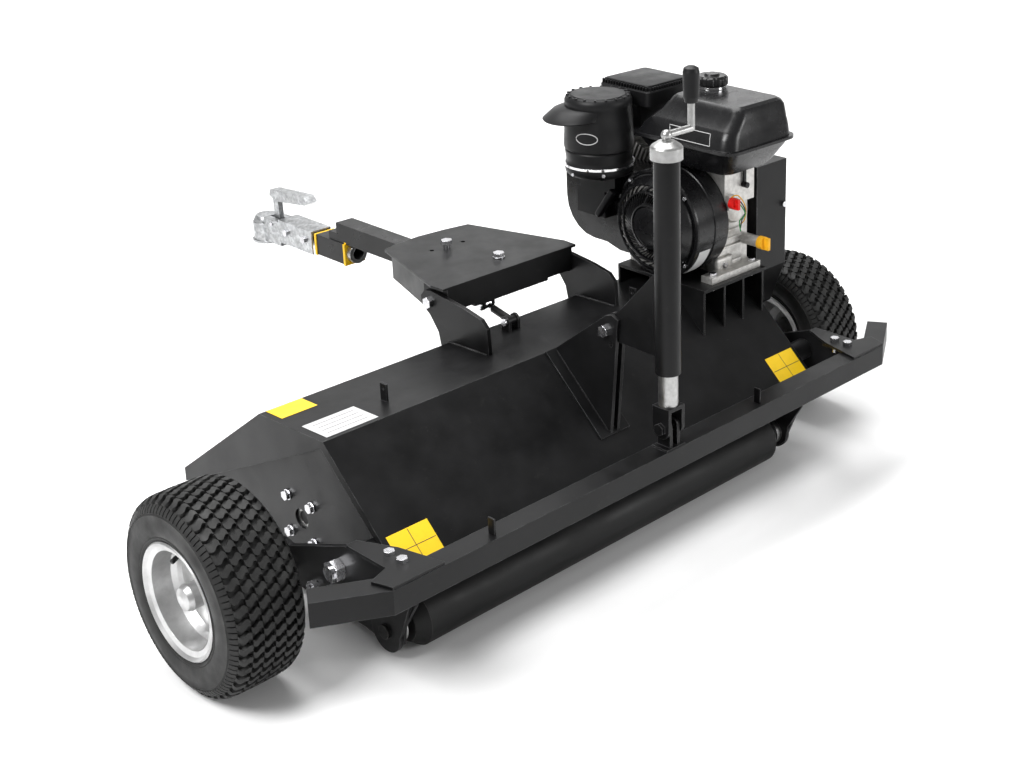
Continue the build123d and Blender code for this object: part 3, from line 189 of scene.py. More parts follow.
# ---- materials ----------------------------------------------------------
class Shader:
    """A small builder for node materials in object coordinates."""

    def __init__(self, name, **sockets):
        self.mat = bpy.data.materials.new(name)
        self.mat.use_nodes = True
        self.tree = self.mat.node_tree
        self.bsdf = self.tree.nodes["Principled BSDF"]
        for key, value in sockets.items():
            self.bsdf.inputs[key.replace("_", " ")].default_value = value
        self.coords = self.add("ShaderNodeTexCoord").outputs["Object"]

    def add(self, kind, **props):
        node = self.tree.nodes.new(kind)
        for key, value in props.items():
            setattr(node, key, value)
        return node

    def link(self, a, b):
        self.tree.links.new(a, b)

    def noise(self, scale, detail=4.0, rough=0.55, stretch=None):
        node = self.add("ShaderNodeTexNoise")
        node.inputs["Scale"].default_value = scale
        node.inputs["Detail"].default_value = detail
        node.inputs["Roughness"].default_value = rough
        source = self.coords
        if stretch:
            scaler = self.add("ShaderNodeMapping")
            scaler.inputs["Scale"].default_value = stretch
            self.link(source, scaler.inputs["Vector"])
            source = scaler.outputs["Vector"]
        self.link(source, node.inputs["Vector"])
        return node.outputs["Fac"]

    def ramp(self, source, stops):
        node = self.add("ShaderNodeValToRGB")
        elements = node.color_ramp.elements
        while len(elements) < len(stops):
            elements.new(0.5)
        for element, (place, value) in zip(elements, stops):
            element.position = place
            element.color = (*value, 1) if isinstance(value, tuple) else (value, value, value, 1)
        self.link(source, node.inputs["Fac"])
        return node.outputs["Color"]

    def mix(self, fac, a, b):
        node = self.add("ShaderNodeMix", data_type="RGBA")
        for socket, value in ((node.inputs[0], fac), (node.inputs[6], a), (node.inputs[7], b)):
            if isinstance(value, bpy.types.NodeSocket):
                self.link(value, socket)
            elif isinstance(value, tuple):
                socket.default_value = (*value, 1)
            else:
                socket.default_value = value
        return node.outputs[2]

    def math(self, operation, a, b=0.0):
        node = self.add("ShaderNodeMath", operation=operation)
        for socket, value in ((node.inputs[0], a), (node.inputs[1], b)):
            if isinstance(value, bpy.types.NodeSocket):
                self.link(value, socket)
            else:
                socket.default_value = value
        return node.outputs[0]

    def edges(self, radius):
        """Mask of convex and concave edges, and the rounded normal."""
        bevel = self.add("ShaderNodeBevel", samples=4)
        bevel.inputs["Radius"].default_value = radius
        geometry = self.add("ShaderNodeNewGeometry")
        dot = self.add("ShaderNodeVectorMath", operation="DOT_PRODUCT")
        self.link(bevel.outputs["Normal"], dot.inputs[0])
        self.link(geometry.outputs["True Normal"], dot.inputs[1])
        return self.ramp(dot.outputs["Value"], [(0.80, 1.0), (0.97, 0.0)]), bevel.outputs["Normal"]

    def bump(self, height, strength, distance, normal=None):
        node = self.add("ShaderNodeBump")
        node.inputs["Strength"].default_value = strength
        node.inputs["Distance"].default_value = distance
        self.link(height, node.inputs["Height"])
        if normal is not None:
            self.link(normal, node.inputs["Normal"])
        self.link(node.outputs["Normal"], self.bsdf.inputs["Normal"])

    def colour(self, source):
        self.link(source, self.bsdf.inputs["Base Color"])

    def rough(self, source):
        self.link(source, self.bsdf.inputs["Roughness"])

    def band(self, axis, lo, hi):
        """1 between two object-space positions along X, Y or Z."""
        split = self.add("ShaderNodeSeparateXYZ")
        self.link(self.coords, split.inputs[0])
        above = self.math("GREATER_THAN", split.outputs[axis], lo)
        below = self.math("LESS_THAN", split.outputs[axis], hi)
        return self.math("MULTIPLY", above, below)


def painted(name, base=(0.0055, 0.0055, 0.0058), edge_wear_and_highlight=(0.15, 0.15, 0.155), rough=(0.3, 0.46)):
    """Black powder coat: orange peel, dust, and edges lightened partly as rubbed wear and partly as a painted
    highlight.
    """
    s = Shader(name, Specular_IOR_Level=0.2)
    dark, light = (tuple(c * f for c in base) for f in (0.75, 1.6))
    mottled = s.ramp(s.noise(7, 6, 0.6), [(0.35, dark), (0.7, light)])
    dust = s.ramp(s.noise(38, 8, 0.7), [(0.6, 0.0), (0.8, 0.2)])
    colour = s.mix(dust, mottled, (0.05, 0.049, 0.046))
    specks = s.ramp(s.noise(240, 3, 0.6), [(0.72, 0.0), (0.76, 0.5)])
    colour = s.mix(specks, colour, (0.06, 0.06, 0.058))
    mask, normal = s.edges(1.8 * MM)
    # Edges lightened towards a lighter colour, broken up by noise: partly rubbed paint, partly a painted edge
    # highlight.
    worn_and_highlit_edges = s.math("MULTIPLY", mask, s.ramp(s.noise(26, 6), [(0.4, 0.1), (0.6, 0.95)]))
    s.colour(s.mix(worn_and_highlit_edges, colour, edge_wear_and_highlight))
    s.rough(s.ramp(s.noise(14, 6), [(0.3, rough[0]), (0.75, rough[1])]))
    s.bump(s.noise(620, 2), 0.15, 0.4 * MM, normal)
    return s.mat


def metal(name, base, rough=(0.22, 0.42), scale=60, grain=0.12, metallic=1.0, edge=1.15):
    """Bare, plated or cast metal with smudges, fine grain and a painted highlight on its edges."""
    s = Shader(name, Metallic=metallic)
    darker = tuple(c * 0.72 for c in base)
    colour = s.ramp(s.noise(scale, 6, 0.65), [(0.3, darker), (0.62, base)])
    mask, normal = s.edges(0.9 * MM)
    # Painted highlight: edges brightened above the base colour.
    colour = s.mix(s.math("MULTIPLY", mask, 0.5), colour, tuple(min(1.0, c * edge) for c in base))
    s.colour(colour)
    s.rough(s.ramp(s.noise(scale * 0.6, 5), [(0.3, rough[0]), (0.7, rough[1])]))
    s.bump(s.noise(scale * 12, 3), grain, 0.3 * MM, normal)
    return s.mat


def galvanised(name):
    """Dull hot-dipped zinc with its spangle."""
    s = Shader(name, Metallic=1.0)
    cells = s.add("ShaderNodeTexVoronoi")
    cells.inputs["Scale"].default_value = 150
    s.link(s.coords, cells.inputs["Vector"])
    spangle = s.ramp(cells.outputs["Color"], [(0.2, (0.36, 0.37, 0.38)), (0.8, (0.6, 0.61, 0.62))])
    s.colour(s.mix(s.ramp(s.noise(40, 6), [(0.4, 0.0), (0.65, 0.55)]), spangle, (0.3, 0.3, 0.3)))
    s.rough(s.ramp(s.noise(70, 5), [(0.3, 0.3), (0.7, 0.5)]))
    normal = s.edges(1.2 * MM)[1]
    s.bump(s.noise(500, 3), 0.15, 0.3 * MM, normal)
    return s.mat


def plastic(name, base=(0.0055, 0.0055, 0.006), rough=(0.34, 0.5), grain=0.3, scale=900, specular=0.24):
    """Moulded plastic with a fine textured skin and a painted highlight on its edges."""
    s = Shader(name, Specular_IOR_Level=specular)
    dark, light = tuple(c * 0.85 for c in base), tuple(min(1, c * 1.3) for c in base)
    colour = s.ramp(s.noise(18, 5), [(0.35, dark), (0.7, light)])
    mask, normal = s.edges(1.2 * MM)
    # Painted highlight: edges lightened a little above the base colour.
    colour = s.mix(s.math("MULTIPLY", mask, 0.25), colour, tuple(min(1, c * 1.6 + 0.006) for c in base))
    s.colour(colour)
    s.rough(s.ramp(s.noise(24, 5), [(0.3, rough[0]), (0.7, rough[1])]))
    s.bump(s.noise(scale, 2), grain, 0.12 * MM, normal)
    return s.mat


def tyre_rubber(name):
    s = Shader(name, Specular_IOR_Level=0.35)
    base = s.ramp(s.noise(30, 6), [(0.35, (0.008, 0.008, 0.008)), (0.7, (0.017, 0.017, 0.0165))])
    dust = s.ramp(s.noise(75, 8, 0.7), [(0.52, 0.0), (0.72, 0.4)])
    s.colour(s.mix(dust, base, (0.03, 0.029, 0.027)))
    s.rough(s.ramp(s.noise(20, 5), [(0.3, 0.48), (0.7, 0.72)]))
    s.bump(s.noise(420, 4), 0.3, 0.5 * MM)
    return s.mat


def flat_label(name, base, rough=0.35):
    """Printed sheet: even colour, faint scuffs."""
    s = Shader(name)
    stain = s.ramp(s.noise(60, 7, 0.7), [(0.5, 0.0), (0.8, 0.3)])
    s.colour(s.mix(stain, base, tuple(c * 0.65 for c in base)))
    s.rough(s.ramp(s.noise(30, 3), [(0.3, rough), (0.7, rough + 0.18)]))
    s.bump(s.noise(300, 2), 0.05, 0.1 * MM)
    return s.mat


PAINT = painted("black_powder_coat")
ROTOR_PAINT = painted("rotor_paint", base=(0.009, 0.009, 0.009), rough=(0.4, 0.6), edge_wear_and_highlight=(0.2, 0.19, 0.18))
ZINC = metal("bright_zinc", (0.66, 0.66, 0.68), rough=(0.16, 0.34))
STEEL = metal("brushed_steel", (0.46, 0.46, 0.455), rough=(0.28, 0.46))
CHROME = metal("chrome", (0.86, 0.86, 0.87), rough=(0.05, 0.14), grain=0.03)
GALVANISED = galvanised("hot_dip_zinc")
RIM_SILVER = metal("rim_silver", (0.58, 0.58, 0.58), rough=(0.3, 0.46), scale=22, grain=0.08, metallic=0.9)
CAST = metal("cast_aluminium", (0.6, 0.59, 0.57), rough=(0.4, 0.6), scale=90, grain=0.6, metallic=0.85)
IRON = metal("cast_iron", (0.2, 0.19, 0.18), rough=(0.4, 0.6), scale=50, grain=0.5)
PLASTIC = plastic("moulded_black")
GLOSS_BLACK = plastic("gloss_black", base=(0.005, 0.005, 0.0055), rough=(0.2, 0.32), grain=0.06,
                      specular=0.34)
RED = plastic("red_plastic", base=(0.62, 0.012, 0.01), rough=(0.2, 0.35), grain=0.06)
YELLOW = plastic("yellow_plastic", base=(0.72, 0.36, 0.015), rough=(0.25, 0.4), grain=0.08)
BELT = plastic("belt_rubber", base=(0.016, 0.016, 0.016), rough=(0.6, 0.8), grain=0.3, scale=400)
TYRE = tyre_rubber("tyre_rubber")
LABEL_YELLOW = flat_label("label_yellow", (0.8, 0.52, 0.008))
LABEL_WHITE = flat_label("label_white", (0.5, 0.5, 0.5))
LABEL_DARK = flat_label("label_dark", (0.03, 0.03, 0.03))
WIRE_GREEN = plastic("wire_green", base=(0.02, 0.25, 0.06), grain=0.05)


def drawbar_paint():
    """The drawbar's paint, with the yellow bushes at both ends of the swivel housing."""
    end = high("drawbar").y
    flange, gap = 8.2 * MM, 114 * MM
    yellow = (0.75, 0.45, 0.01)
    bands = ((1, end - flange, end + MM, yellow), (1, end - 2 * flange - gap, end - flange - gap, yellow))
    s = Shader("drawbar_paint", Specular_IOR_Level=0.2)
    base = s.ramp(s.noise(9, 5), [(0.35, 0.006), (0.7, 0.012)])
    split = s.add("ShaderNodeSeparateXYZ")
    s.link(s.coords, split.inputs[0])
    below_bar = s.math("LESS_THAN", split.outputs[2], high("drawbar").z - 46 * MM)
    mask, normal = s.edges(1.6 * MM)
    # Painted highlight: edges mixed towards a lighter grey.
    colour = s.mix(s.math("MULTIPLY", mask, 0.4), base, (0.16, 0.16, 0.165))
    for axis, lo, hi, tint in bands:
        colour = s.mix(s.math("MULTIPLY", s.band(axis, lo, hi), below_bar), colour, tint)
    s.colour(colour)
    s.rough(s.ramp(s.noise(14, 6), [(0.3, 0.25), (0.75, 0.42)]))
    s.bump(s.noise(620, 2), 0.12, 0.4 * MM, normal)
    return s.mat


CAD_FINISH = {
    PAINT: ("deck_shell side_plates side_brackets engine_platform jack_gusset hitch_lugs guard_back guard_cover "
            "axle_beam side_arms jack_outer_tube hitch_box jack_clevis strut_tube"),
    ROTOR_PAINT: "rotor_tube flail_row_1 flail_row_2 flail_row_3 flail_bolts roller_drum",
    ZINC: "deck_bolts pivot_bolts frame_bolts hitch_bolts coupler_bolts strut_rod",
    STEEL: "flange_bearings stub_axles jack_crank jack_inner_tube jack_cap crankshaft swivel_pipe",
    GALVANISED: "coupler_body coupler_lever",
    RIM_SILVER: "rim_left rim_right hub_cap_left hub_cap_right",
    CAST: "crankcase cylinder_head",
    IRON: "rotor_pulley",
    PLASTIC: "intake_elbow throttle_lever choke_lever jack_grip recoil_grip muffler_guard muffler air_cleaner",
    GLOSS_BLACK: "blower_housing recoil_cover fuel_tank fuel_cap",
    RED: "stop_switch",
    YELLOW: "oil_filler_cap",
    BELT: "drive_belts",
    TYRE: "tyre_left tyre_right",
}


def paint_nodes():
    for material, names in CAD_FINISH.items():
        for name in names.split():
            dress(name, material)
    dress("drawbar", drawbar_paint())


def dress(name, material):
    slots = NODES[name].material_slots
    if not slots:
        raise RuntimeError("no material slot on " + name)
    for s in slots:
        s.material = material


# ---- wheels -------------------------------------------------------------
def crown(t, half):
    """Radius of the tread's outer face at a distance t from the middle, over the full radius."""
    edge = abs(t) / half
    return 1.0 - 0.012 * edge ** 2 - 0.085 * max(0.0, edge - 0.55) ** 2 / 0.2


def build_tyre(side):
    node = "tyre_" + side
    lo, hi = low(node), high(node)
    mid = (lo + hi) / 2
    radius, half = (hi.z - lo.z) / 2, (hi.x - lo.x) / 2
    depth = 9 * MM
    tread_half = half - 9 * MM
    bead, rim_r = half - 13.6 * MM, 104.3 * MM
    wall = [(bead, rim_r), (half - 10.8 * MM, 114.6 * MM), (half - 5.4 * MM, 119.6 * MM)]
    wall += [(half - 2.2 * MM, 126 * MM), (half - 3.4 * MM, 128.5 * MM), (half - 1.2 * MM, 132 * MM)]
    wall += [(half, 148 * MM), (half - 0.6 * MM, 158 * MM), (half - 2.4 * MM, 168 * MM)]
    wall += [(half - 1.2 * MM, 170.5 * MM), (half - 3.6 * MM, 173 * MM), (half - 8 * MM, 179 * MM)]
    base = [(t * tread_half, radius * crown(t * tread_half, half) - depth)
            for t in (1.0, 0.8, 0.6, 0.4, 0.2, 0.0)]
    inner = [(half - 16 * MM, 104.6 * MM), (half - 12 * MM, 122 * MM), (half - 10 * MM, 148 * MM),
             (half - 16 * MM, 172 * MM), (half - 30 * MM, 182 * MM), (0.0, 186 * MM)]
    outside = wall + base[:-1]
    profile = [(-a, r) for a, r in outside] + [base[-1]] + outside[::-1]
    inside = [(-a, r) for a, r in inner[:-1]] + [inner[-1]] + inner[:-1][::-1]
    bm = bmesh.new()
    loop = profile + inside[::-1]
    turned_loop(bm, loop, mid, 112)
    add_lugs(bm, mid, radius, half, tread_half, depth)
    piece("turf_tyre_" + side, bm, TYRE, "wheel_" + side, 40, [node])


def turned_loop(bm, loop, at, steps):
    """Adds a turned ring whose closed section is a loop of (along X, radius) points."""
    rings = []
    for k in range(steps):
        a = 2 * math.pi * k / steps
        rings.append([bm.verts.new(Vector(at) + Vector((x, r * math.cos(a), r * math.sin(a))))
                      for x, r in loop])
    count = len(loop)
    for k in range(steps):
        first, second = rings[k], rings[(k + 1) % steps]
        for i in range(count):
            n = (i + 1) % count
            bm.faces.new((first[i], first[n], second[n], second[i]))


LUG_ROWS = 48
LUG_COLUMNS = 6


def add_lugs(bm, mid, radius, half, tread_half, depth):
    """Turf tread: staggered S-shaped blocks across the crown and bars down the shoulders."""
    pitch_t = 2 * (tread_half - 4 * MM) / LUG_COLUMNS
    pitch_a = 2 * math.pi / LUG_ROWS
    for row in range(LUG_ROWS):
        for column in range(LUG_COLUMNS):
            t0 = -tread_half + 4 * MM + pitch_t * (column + 0.5)
            a0 = pitch_a * (row + 0.5 * (column % 2))
            lug(bm, mid, radius, half, depth, t0, a0, pitch_t * 0.98, pitch_a * 0.31)
        for side in (-1, 1):
            shoulder_bar(bm, mid, half, side, pitch_a * (row + 0.25), pitch_a * 0.24)
            shoulder_bar(bm, mid, half, side, pitch_a * (row + 0.75), pitch_a * 0.24)


def lug(bm, mid, radius, half, depth, t0, a0, width, half_angle):
    """One wavy block: its two long edges follow the same S."""
    columns = []
    samples = 7
    for i in range(samples):
        f = i / (samples - 1)
        t = t0 + (f - 0.5) * width
        bend = half_angle * 0.5 * math.sin(2 * math.pi * f)
        thin = 0.8 + 0.2 * math.sin(math.pi * f)
        r = radius * crown(t, half)
        end = 1.5 * MM if i in (0, samples - 1) else 0.0
        column = []
        for spread, height in ((-1.0, -depth - MM), (-0.88, -end), (0.88, -end), (1.0, -depth - MM)):
            a = a0 + bend + spread * half_angle * thin
            rr = r + height
            column.append(bm.verts.new(mid + Vector((t, rr * math.cos(a), rr * math.sin(a)))))
        columns.append(column)
    for first, second in zip(columns, columns[1:]):
        for k in range(4):
            n = (k + 1) % 4
            bm.faces.new((first[k], first[n], second[n], second[k]))
    bm.faces.new(columns[0])
    bm.faces.new(columns[-1])


def shoulder_bar(bm, mid, half, side, a0, half_angle):
    """Short radial bar from the tread's edge down the sidewall."""
    spine = [(half - 13 * MM, 189 * MM), (half - 6.5 * MM, 182.5 * MM), (half - 2.6 * MM, 175.5 * MM)]
    columns = []
    for t, r in spine:
        column = []
        for spread, sink in ((-1, 5 * MM), (-0.8, 0), (0.8, 0), (1, 5 * MM)):
            a = a0 + spread * half_angle
            column.append(bm.verts.new(mid + Vector((side * (t - sink * 0.6), (r - sink) * math.cos(a),
                                                     (r - sink) * math.sin(a)))))
        columns.append(column)
    for first, second in zip(columns, columns[1:]):
        for k in range(4):
            n = (k + 1) % 4
            bm.faces.new((first[k], first[n], second[n], second[k]))
    bm.faces.new(columns[0])
    bm.faces.new(columns[-1])


def valve_stem(side):
    """Rubber valve stem and its cap, in the dish of the rim."""
    rim = "rim_" + side
    mid = centre(rim)
    out = -1 if side == "left" else 1
    a = math.radians(62)
    root = mid + Vector((out * 30 * MM, 84 * MM * math.cos(a), 84 * MM * math.sin(a)))
    direction = Vector((out * 0.93, -0.36 * math.cos(a), -0.36 * math.sin(a)))
    bm = bmesh.new()
    turned(bm, [(-8 * MM, 7.5 * MM), (2 * MM, 7 * MM), (6 * MM, 5 * MM), (22 * MM, 4.2 * MM), (23 * MM, 5 * MM),
                (33 * MM, 5 * MM), (34.5 * MM, 4 * MM)], root, direction, 20)
    piece("valve_stem_" + side, bm, PLASTIC, "wheel_" + side)


# ---- engine covers ------------------------------------------------------
def engine_axis():
    """Point on the crankshaft line at the outer face of the starter cover."""
    lo, hi = low("recoil_cover"), high("recoil_cover")
    return Vector((lo.x, (lo.y + hi.y) / 2, (lo.z + hi.z) / 2))


def build_starter():
    """Starter cover: hub disc, slanted bars, a ring of open teeth and a bowl-shaped rim."""
    face = engine_axis()
    deep = high("recoil_cover").x - low("recoil_cover").x
    hub_r, bar_r, ring_r, rim_r = 55 * MM, 84 * MM, 101 * MM, 118 * MM
    bm = bmesh.new()
    bowl = [(deep, rim_r), (deep - 6 * MM, rim_r), (deep - 14 * MM, rim_r - 3 * MM),
            (9 * MM, ring_r + 5 * MM),
            (6 * MM, ring_r + 2 * MM), (7 * MM, ring_r - 2 * MM), (12 * MM, ring_r - 2 * MM),
            (deep - 10 * MM, rim_r - 8 * MM), (deep, rim_r - 5 * MM)]
    turned_loop(bm, bowl, face, 96)
    hub = [(0.0, hub_r - 4 * MM), (1.5 * MM, hub_r), (12 * MM, hub_r + 2 * MM), (16 * MM, hub_r + 2 * MM),
           (16 * MM, hub_r - 3 * MM), (6 * MM, hub_r - 6 * MM)]
    turned_loop(bm, hub, face, 96)
    inner = [(3 * MM, bar_r - 2 * MM), (2 * MM, bar_r), (3 * MM, bar_r + 2 * MM), (12 * MM, bar_r + 2 * MM),
             (12 * MM, bar_r - 2 * MM)]
    turned_loop(bm, inner, face, 96)
    disc = [(3.0 * MM, 2 * MM), (0.6 * MM, 30 * MM), (1.6 * MM, 46 * MM), (4 * MM, 49 * MM),
            (7 * MM, 51 * MM)]
    turned(bm, disc, face, "X", 96)
    bars = 55
    for k in range(bars):
        wide = k % 11 == 0
        slat(bm, face, 2 * math.pi * k / bars, hub_r, bar_r, 3.2 * MM if wide else 1.5 * MM, 7 * MM)
    teeth = 30
    for k in range(teeth):
        wide = k % 6 == 0
        half_width = 7.5 * MM if wide else 2.6 * MM
        slat(bm, face, 2 * math.pi * (k + 0.3) / teeth, bar_r, ring_r, half_width, 7 * MM)
    piece("starter_cover", bm, GLOSS_BLACK, "deck", 35, ["recoil_cover"])
    plate = bmesh.new()
    screen = [(15 * MM, bar_r - 12 * MM), (13 * MM, ring_r), (15 * MM, ring_r), (17 * MM, bar_r - 12 * MM)]
    turned_loop(plate, screen, face, 96)
    piece("starter_screen", plate, CAST, "deck")


def slat(bm, face, a, r0, r1, half_width, depth):
    """One slanted bar of the air grille."""
    lean = math.radians(38)
    columns = []
    for f in (0.0, 0.5, 1.0):
        r = r0 + (r1 - r0) * f
        angle = a + lean * f * 0.55
        tangent = Vector((0, -math.sin(angle), math.cos(angle)))
        mid = face + Vector((8 * MM, r * math.cos(angle), r * math.sin(angle)))
        column = [mid + tangent * s * half_width + Vector((d * depth, 0, 0))
                  for s, d in ((-1, 0.15), (0, 0), (1, 0.15), (1, 1), (-1, 1))]
        columns.append([bm.verts.new(p) for p in column])
    for first, second in zip(columns, columns[1:]):
        for k in range(5):
            n = (k + 1) % 5
            bm.faces.new((first[k], first[n], second[n], second[k]))
    bm.faces.new(columns[0])
    bm.faces.new(columns[-1])


def blower_trim():
    """Bright rim on the shroud's shoulder, its screws, and the plain sticker on its flank."""
    face = engine_axis()
    bm = bmesh.new()
    x = low("blower_housing").x - face.x
    r = 132 * MM
    ring = [(x - 1 * MM, r - 10 * MM), (x - 3 * MM, r - 6 * MM), (x - 1.5 * MM, r - 0.5 * MM),
            (x + 4 * MM, r + 0.6 * MM), (x + 4 * MM, r - 4 * MM)]
    turned_loop(bm, ring, face, 112)
    second = [(x + 56 * MM, r - 1 * MM), (x + 58 * MM, r + 2.4 * MM), (x + 66 * MM, r + 2.4 * MM),
              (x + 68 * MM, r - 1 * MM)]
    turned_loop(bm, second, face, 112)
    piece("shroud_rim", bm, GLOSS_BLACK, "deck")
    screws = bmesh.new()
    for degrees in (48, 138, 222, 312):
        a = math.radians(degrees)
        spot = face + Vector((x - 1.5 * MM, 124 * MM * math.cos(a), 124 * MM * math.sin(a)))
        hex_head(screws, spot, "-X", 9 * MM, 6 * MM)
    piece("shroud_screws", screws, ZINC, "deck")
    sticker = bmesh.new()
    start, span, steps = math.radians(200), math.radians(38), 12
    for k in range(steps):
        quad = []
        for xx, kk in ((x + 12 * MM, k), (x + 50 * MM, k), (x + 50 * MM, k + 1), (x + 12 * MM, k + 1)):
            a = start + span * kk / steps
            rr = r + 0.4 * MM
            quad.append(sticker.verts.new(face + Vector((xx, rr * math.cos(a), rr * math.sin(a)))))
        sticker.faces.new(quad)
    piece("shroud_sticker", sticker, LABEL_WHITE, "deck")


def tank_ring(lo, hi, z, insets, radius):
    """Rounded rectangle moved in on its -X, +X, -Y and +Y sides, all in millimetres."""
    a, b, c, d = (inset * MM for inset in insets)
    return round_rect((lo.x + a, lo.y + c), (hi.x - b, hi.y - d), z, radius * MM)


def build_tank():
    """Fuel tank: two blow-moulded halves, a flange between them and a filler neck."""
    lo, hi = low("fuel_tank"), high("fuel_tank")
    seam = lo.z + 72 * MM
    levels = [(-71, (58, 58, 64, 64), 24), (-66, (46, 46, 50, 50), 28), (-52, (34, 34, 38, 38), 32),
              (-20, (16, 16, 18, 18), 34), (-4, (8, 8, 9, 9), 34), (-3.5, (0, 0, 0, 0), 36), (0, (0, 0, 0, 0), 36),
              (3.5, (0, 0, 0, 0), 36), (4, (7, 7, 8, 9), 34), (26, (14, 9, 11, 24), 32), (42, (22, 12, 14, 40), 30),
              (46, (26, 13, 15, 44), 30), (62, (44, 15, 18, 58), 28), (78, (56, 18, 21, 70), 26),
              (88, (63, 24, 27, 77), 24), (93, (70, 32, 36, 84), 20)]
    bm = bmesh.new()
    loft(bm, [tank_ring(lo, hi, seam + dz * MM, insets, radius) for dz, insets, radius in levels])
    cap = centre("fuel_cap")
    neck_top = low("fuel_cap").z - 0.5 * MM
    turned(bm, [(-12 * MM, 44 * MM), (-4 * MM, 38 * MM), (-3 * MM, 30 * MM), (0, 30 * MM)],
           (cap.x, cap.y, neck_top), "Z", 48)
    piece("tank_body", bm, GLOSS_BLACK, "deck", 24, ["fuel_tank"])
    frame_line = bmesh.new()
    corners = [(-92, 10), (-86, 36), (40, 36), (26, 10)]
    mid_y = (lo.y + hi.y) / 2

    def on_face(dy, dz):
        inset = 7.0 + (dz - 4) * 7 / 22 + max(0.0, dz - 26) * 0.18
        return Vector((lo.x + (inset - 1.0) * MM, mid_y + dy * MM, seam + dz * MM))
    path = []
    for (ay, az), (by, bz) in zip(corners, corners[1:] + corners[:1]):
        for k in range(8):
            path.append(on_face(ay + (by - ay) * k / 8, az + (bz - az) * k / 8))
    path.append(path[0])
    tube(frame_line, path, 0.8 * MM, 6)
    piece("tank_panel_line", frame_line, LABEL_WHITE, "deck")


def build_fuel_cap():
    lo, hi = low("fuel_cap"), high("fuel_cap")
    mid = centre("fuel_cap")
    r, h = (hi.x - lo.x) / 2, hi.z - lo.z

    def flutes(a, along):
        return 1.0 - (0.05 * max(0.0, math.cos(14 * a)) if 0.16 * h < along < 0.8 * h else 0.0)
    bm = bmesh.new()
    turned(bm, [(0.0, r * 0.8), (0.1 * h, r * 0.92), (0.18 * h, r), (0.6 * h, r), (0.74 * h, r * 0.96),
                (0.86 * h, r * 0.84), (0.84 * h, r * 0.5), (h, r * 0.42), (h, r * 0.02)],
           (mid.x, mid.y, lo.z), "Z", 112, flutes)
    piece("fuel_cap_grip", bm, GLOSS_BLACK, "fuel_cap", 30, ["fuel_cap"])
    band = bmesh.new()
    turned(band, [(-7 * MM, r * 0.82), (-6 * MM, r * 0.86), (1 * MM, r * 0.86), (2 * MM, r * 0.8)],
           (mid.x, mid.y, lo.z), "Z", 48)
    piece("filler_ring", band, CHROME, "deck")


def build_cleaner():
    """Air cleaner canister: bulged body, lower cup, clamp band, lid with a brim, plain oval badge."""
    lo, hi = low("air_cleaner"), high("air_cleaner")
    mid = centre("air_cleaner")
    r = (hi.x - lo.x) / 2
    base = Vector((mid.x, mid.y, lo.z))
    h = hi.z - lo.z
    bm = bmesh.new()
    body = [(0, r * 0.9), (0.03 * h, r * 0.97), (0.1 * h, r), (0.14 * h, r * 0.97), (0.17 * h, r * 0.94),
            (0.2 * h, r * 0.95), (0.3 * h, r * 0.975), (0.32 * h, r * 0.94), (0.335 * h, r * 0.99), (0.37 * h, r),
            (0.6 * h, r * 0.975), (0.84 * h, r * 0.94), (0.85 * h, r * 0.955), (0.93 * h, r * 0.955),
            (0.965 * h, r * 0.92), (0.985 * h, r * 0.86), (0.98 * h, r * 0.80), (0.995 * h, r * 0.76), (h, r * 0.5),
            (h, r * 0.01)]
    turned(bm, body, base, "Z", 96)
    for k in range(18):
        a = 2 * math.pi * k / 18
        spot = base + Vector((0.86 * r * math.cos(a), 0.86 * r * math.sin(a), 0.975 * h))
        soft_box(bm, (-4 * MM, -2.5 * MM, 0), (4 * MM, 2.5 * MM, 4 * MM), 0.8 * MM,
                 Matrix.Translation(spot) @ Matrix.Rotation(a, 4, "Z"), 2)
    brim(bm, base, r, h)
    piece("cleaner_body", bm, PLASTIC, "deck", 38, ["air_cleaner"])
    band = bmesh.new()
    turned_z_ring(band, base, r * 0.985, 0.112 * h, 6 * MM, 2.2 * MM)
    piece("cleaner_clamp", band, CHROME, "deck")
    badge = bmesh.new()
    facing = math.radians(205)
    rim_points = []
    steps = 36
    for k in range(steps):
        a = 2 * math.pi * k / steps
        around, up = 27 * MM * math.cos(a), 13 * MM * math.sin(a)
        angle = facing + around / r
        rr = r * 0.985 + 1.2 * MM
        rim_points.append(base + Vector((rr * math.cos(angle), rr * math.sin(angle), 0.52 * h + up)))
    tube(badge, rim_points + [rim_points[0]], 1.1 * MM, 8)
    piece("cleaner_badge_rim", badge, LABEL_WHITE, "deck")
    bolts = bmesh.new()
    for degrees, up in ((176, 0.04), (232, 0.06), (120, 0.05)):
        a = math.radians(degrees)
        spot = base + Vector((0.92 * r * math.cos(a), 0.92 * r * math.sin(a), up * h))
        hex_head(bolts, spot, (math.cos(a), math.sin(a), 0), 9 * MM, 7 * MM)
    piece("cleaner_bolts", bolts, ZINC, "deck")


def turned_z_ring(bm, base, r, up, width, thick):
    loop = [(up, r - thick), (up, r + thick), (up + width, r + thick), (up + width, r - thick)]
    steps = 72
    rings = []
    for k in range(steps):
        a = 2 * math.pi * k / steps
        rings.append([bm.verts.new(base + Vector((rr * math.cos(a), rr * math.sin(a), z))) for z, rr in loop])
    for k in range(steps):
        first, second = rings[k], rings[(k + 1) % steps]
        for i in range(4):
            n = (i + 1) % 4
            bm.faces.new((first[i], first[n], second[n], second[i]))


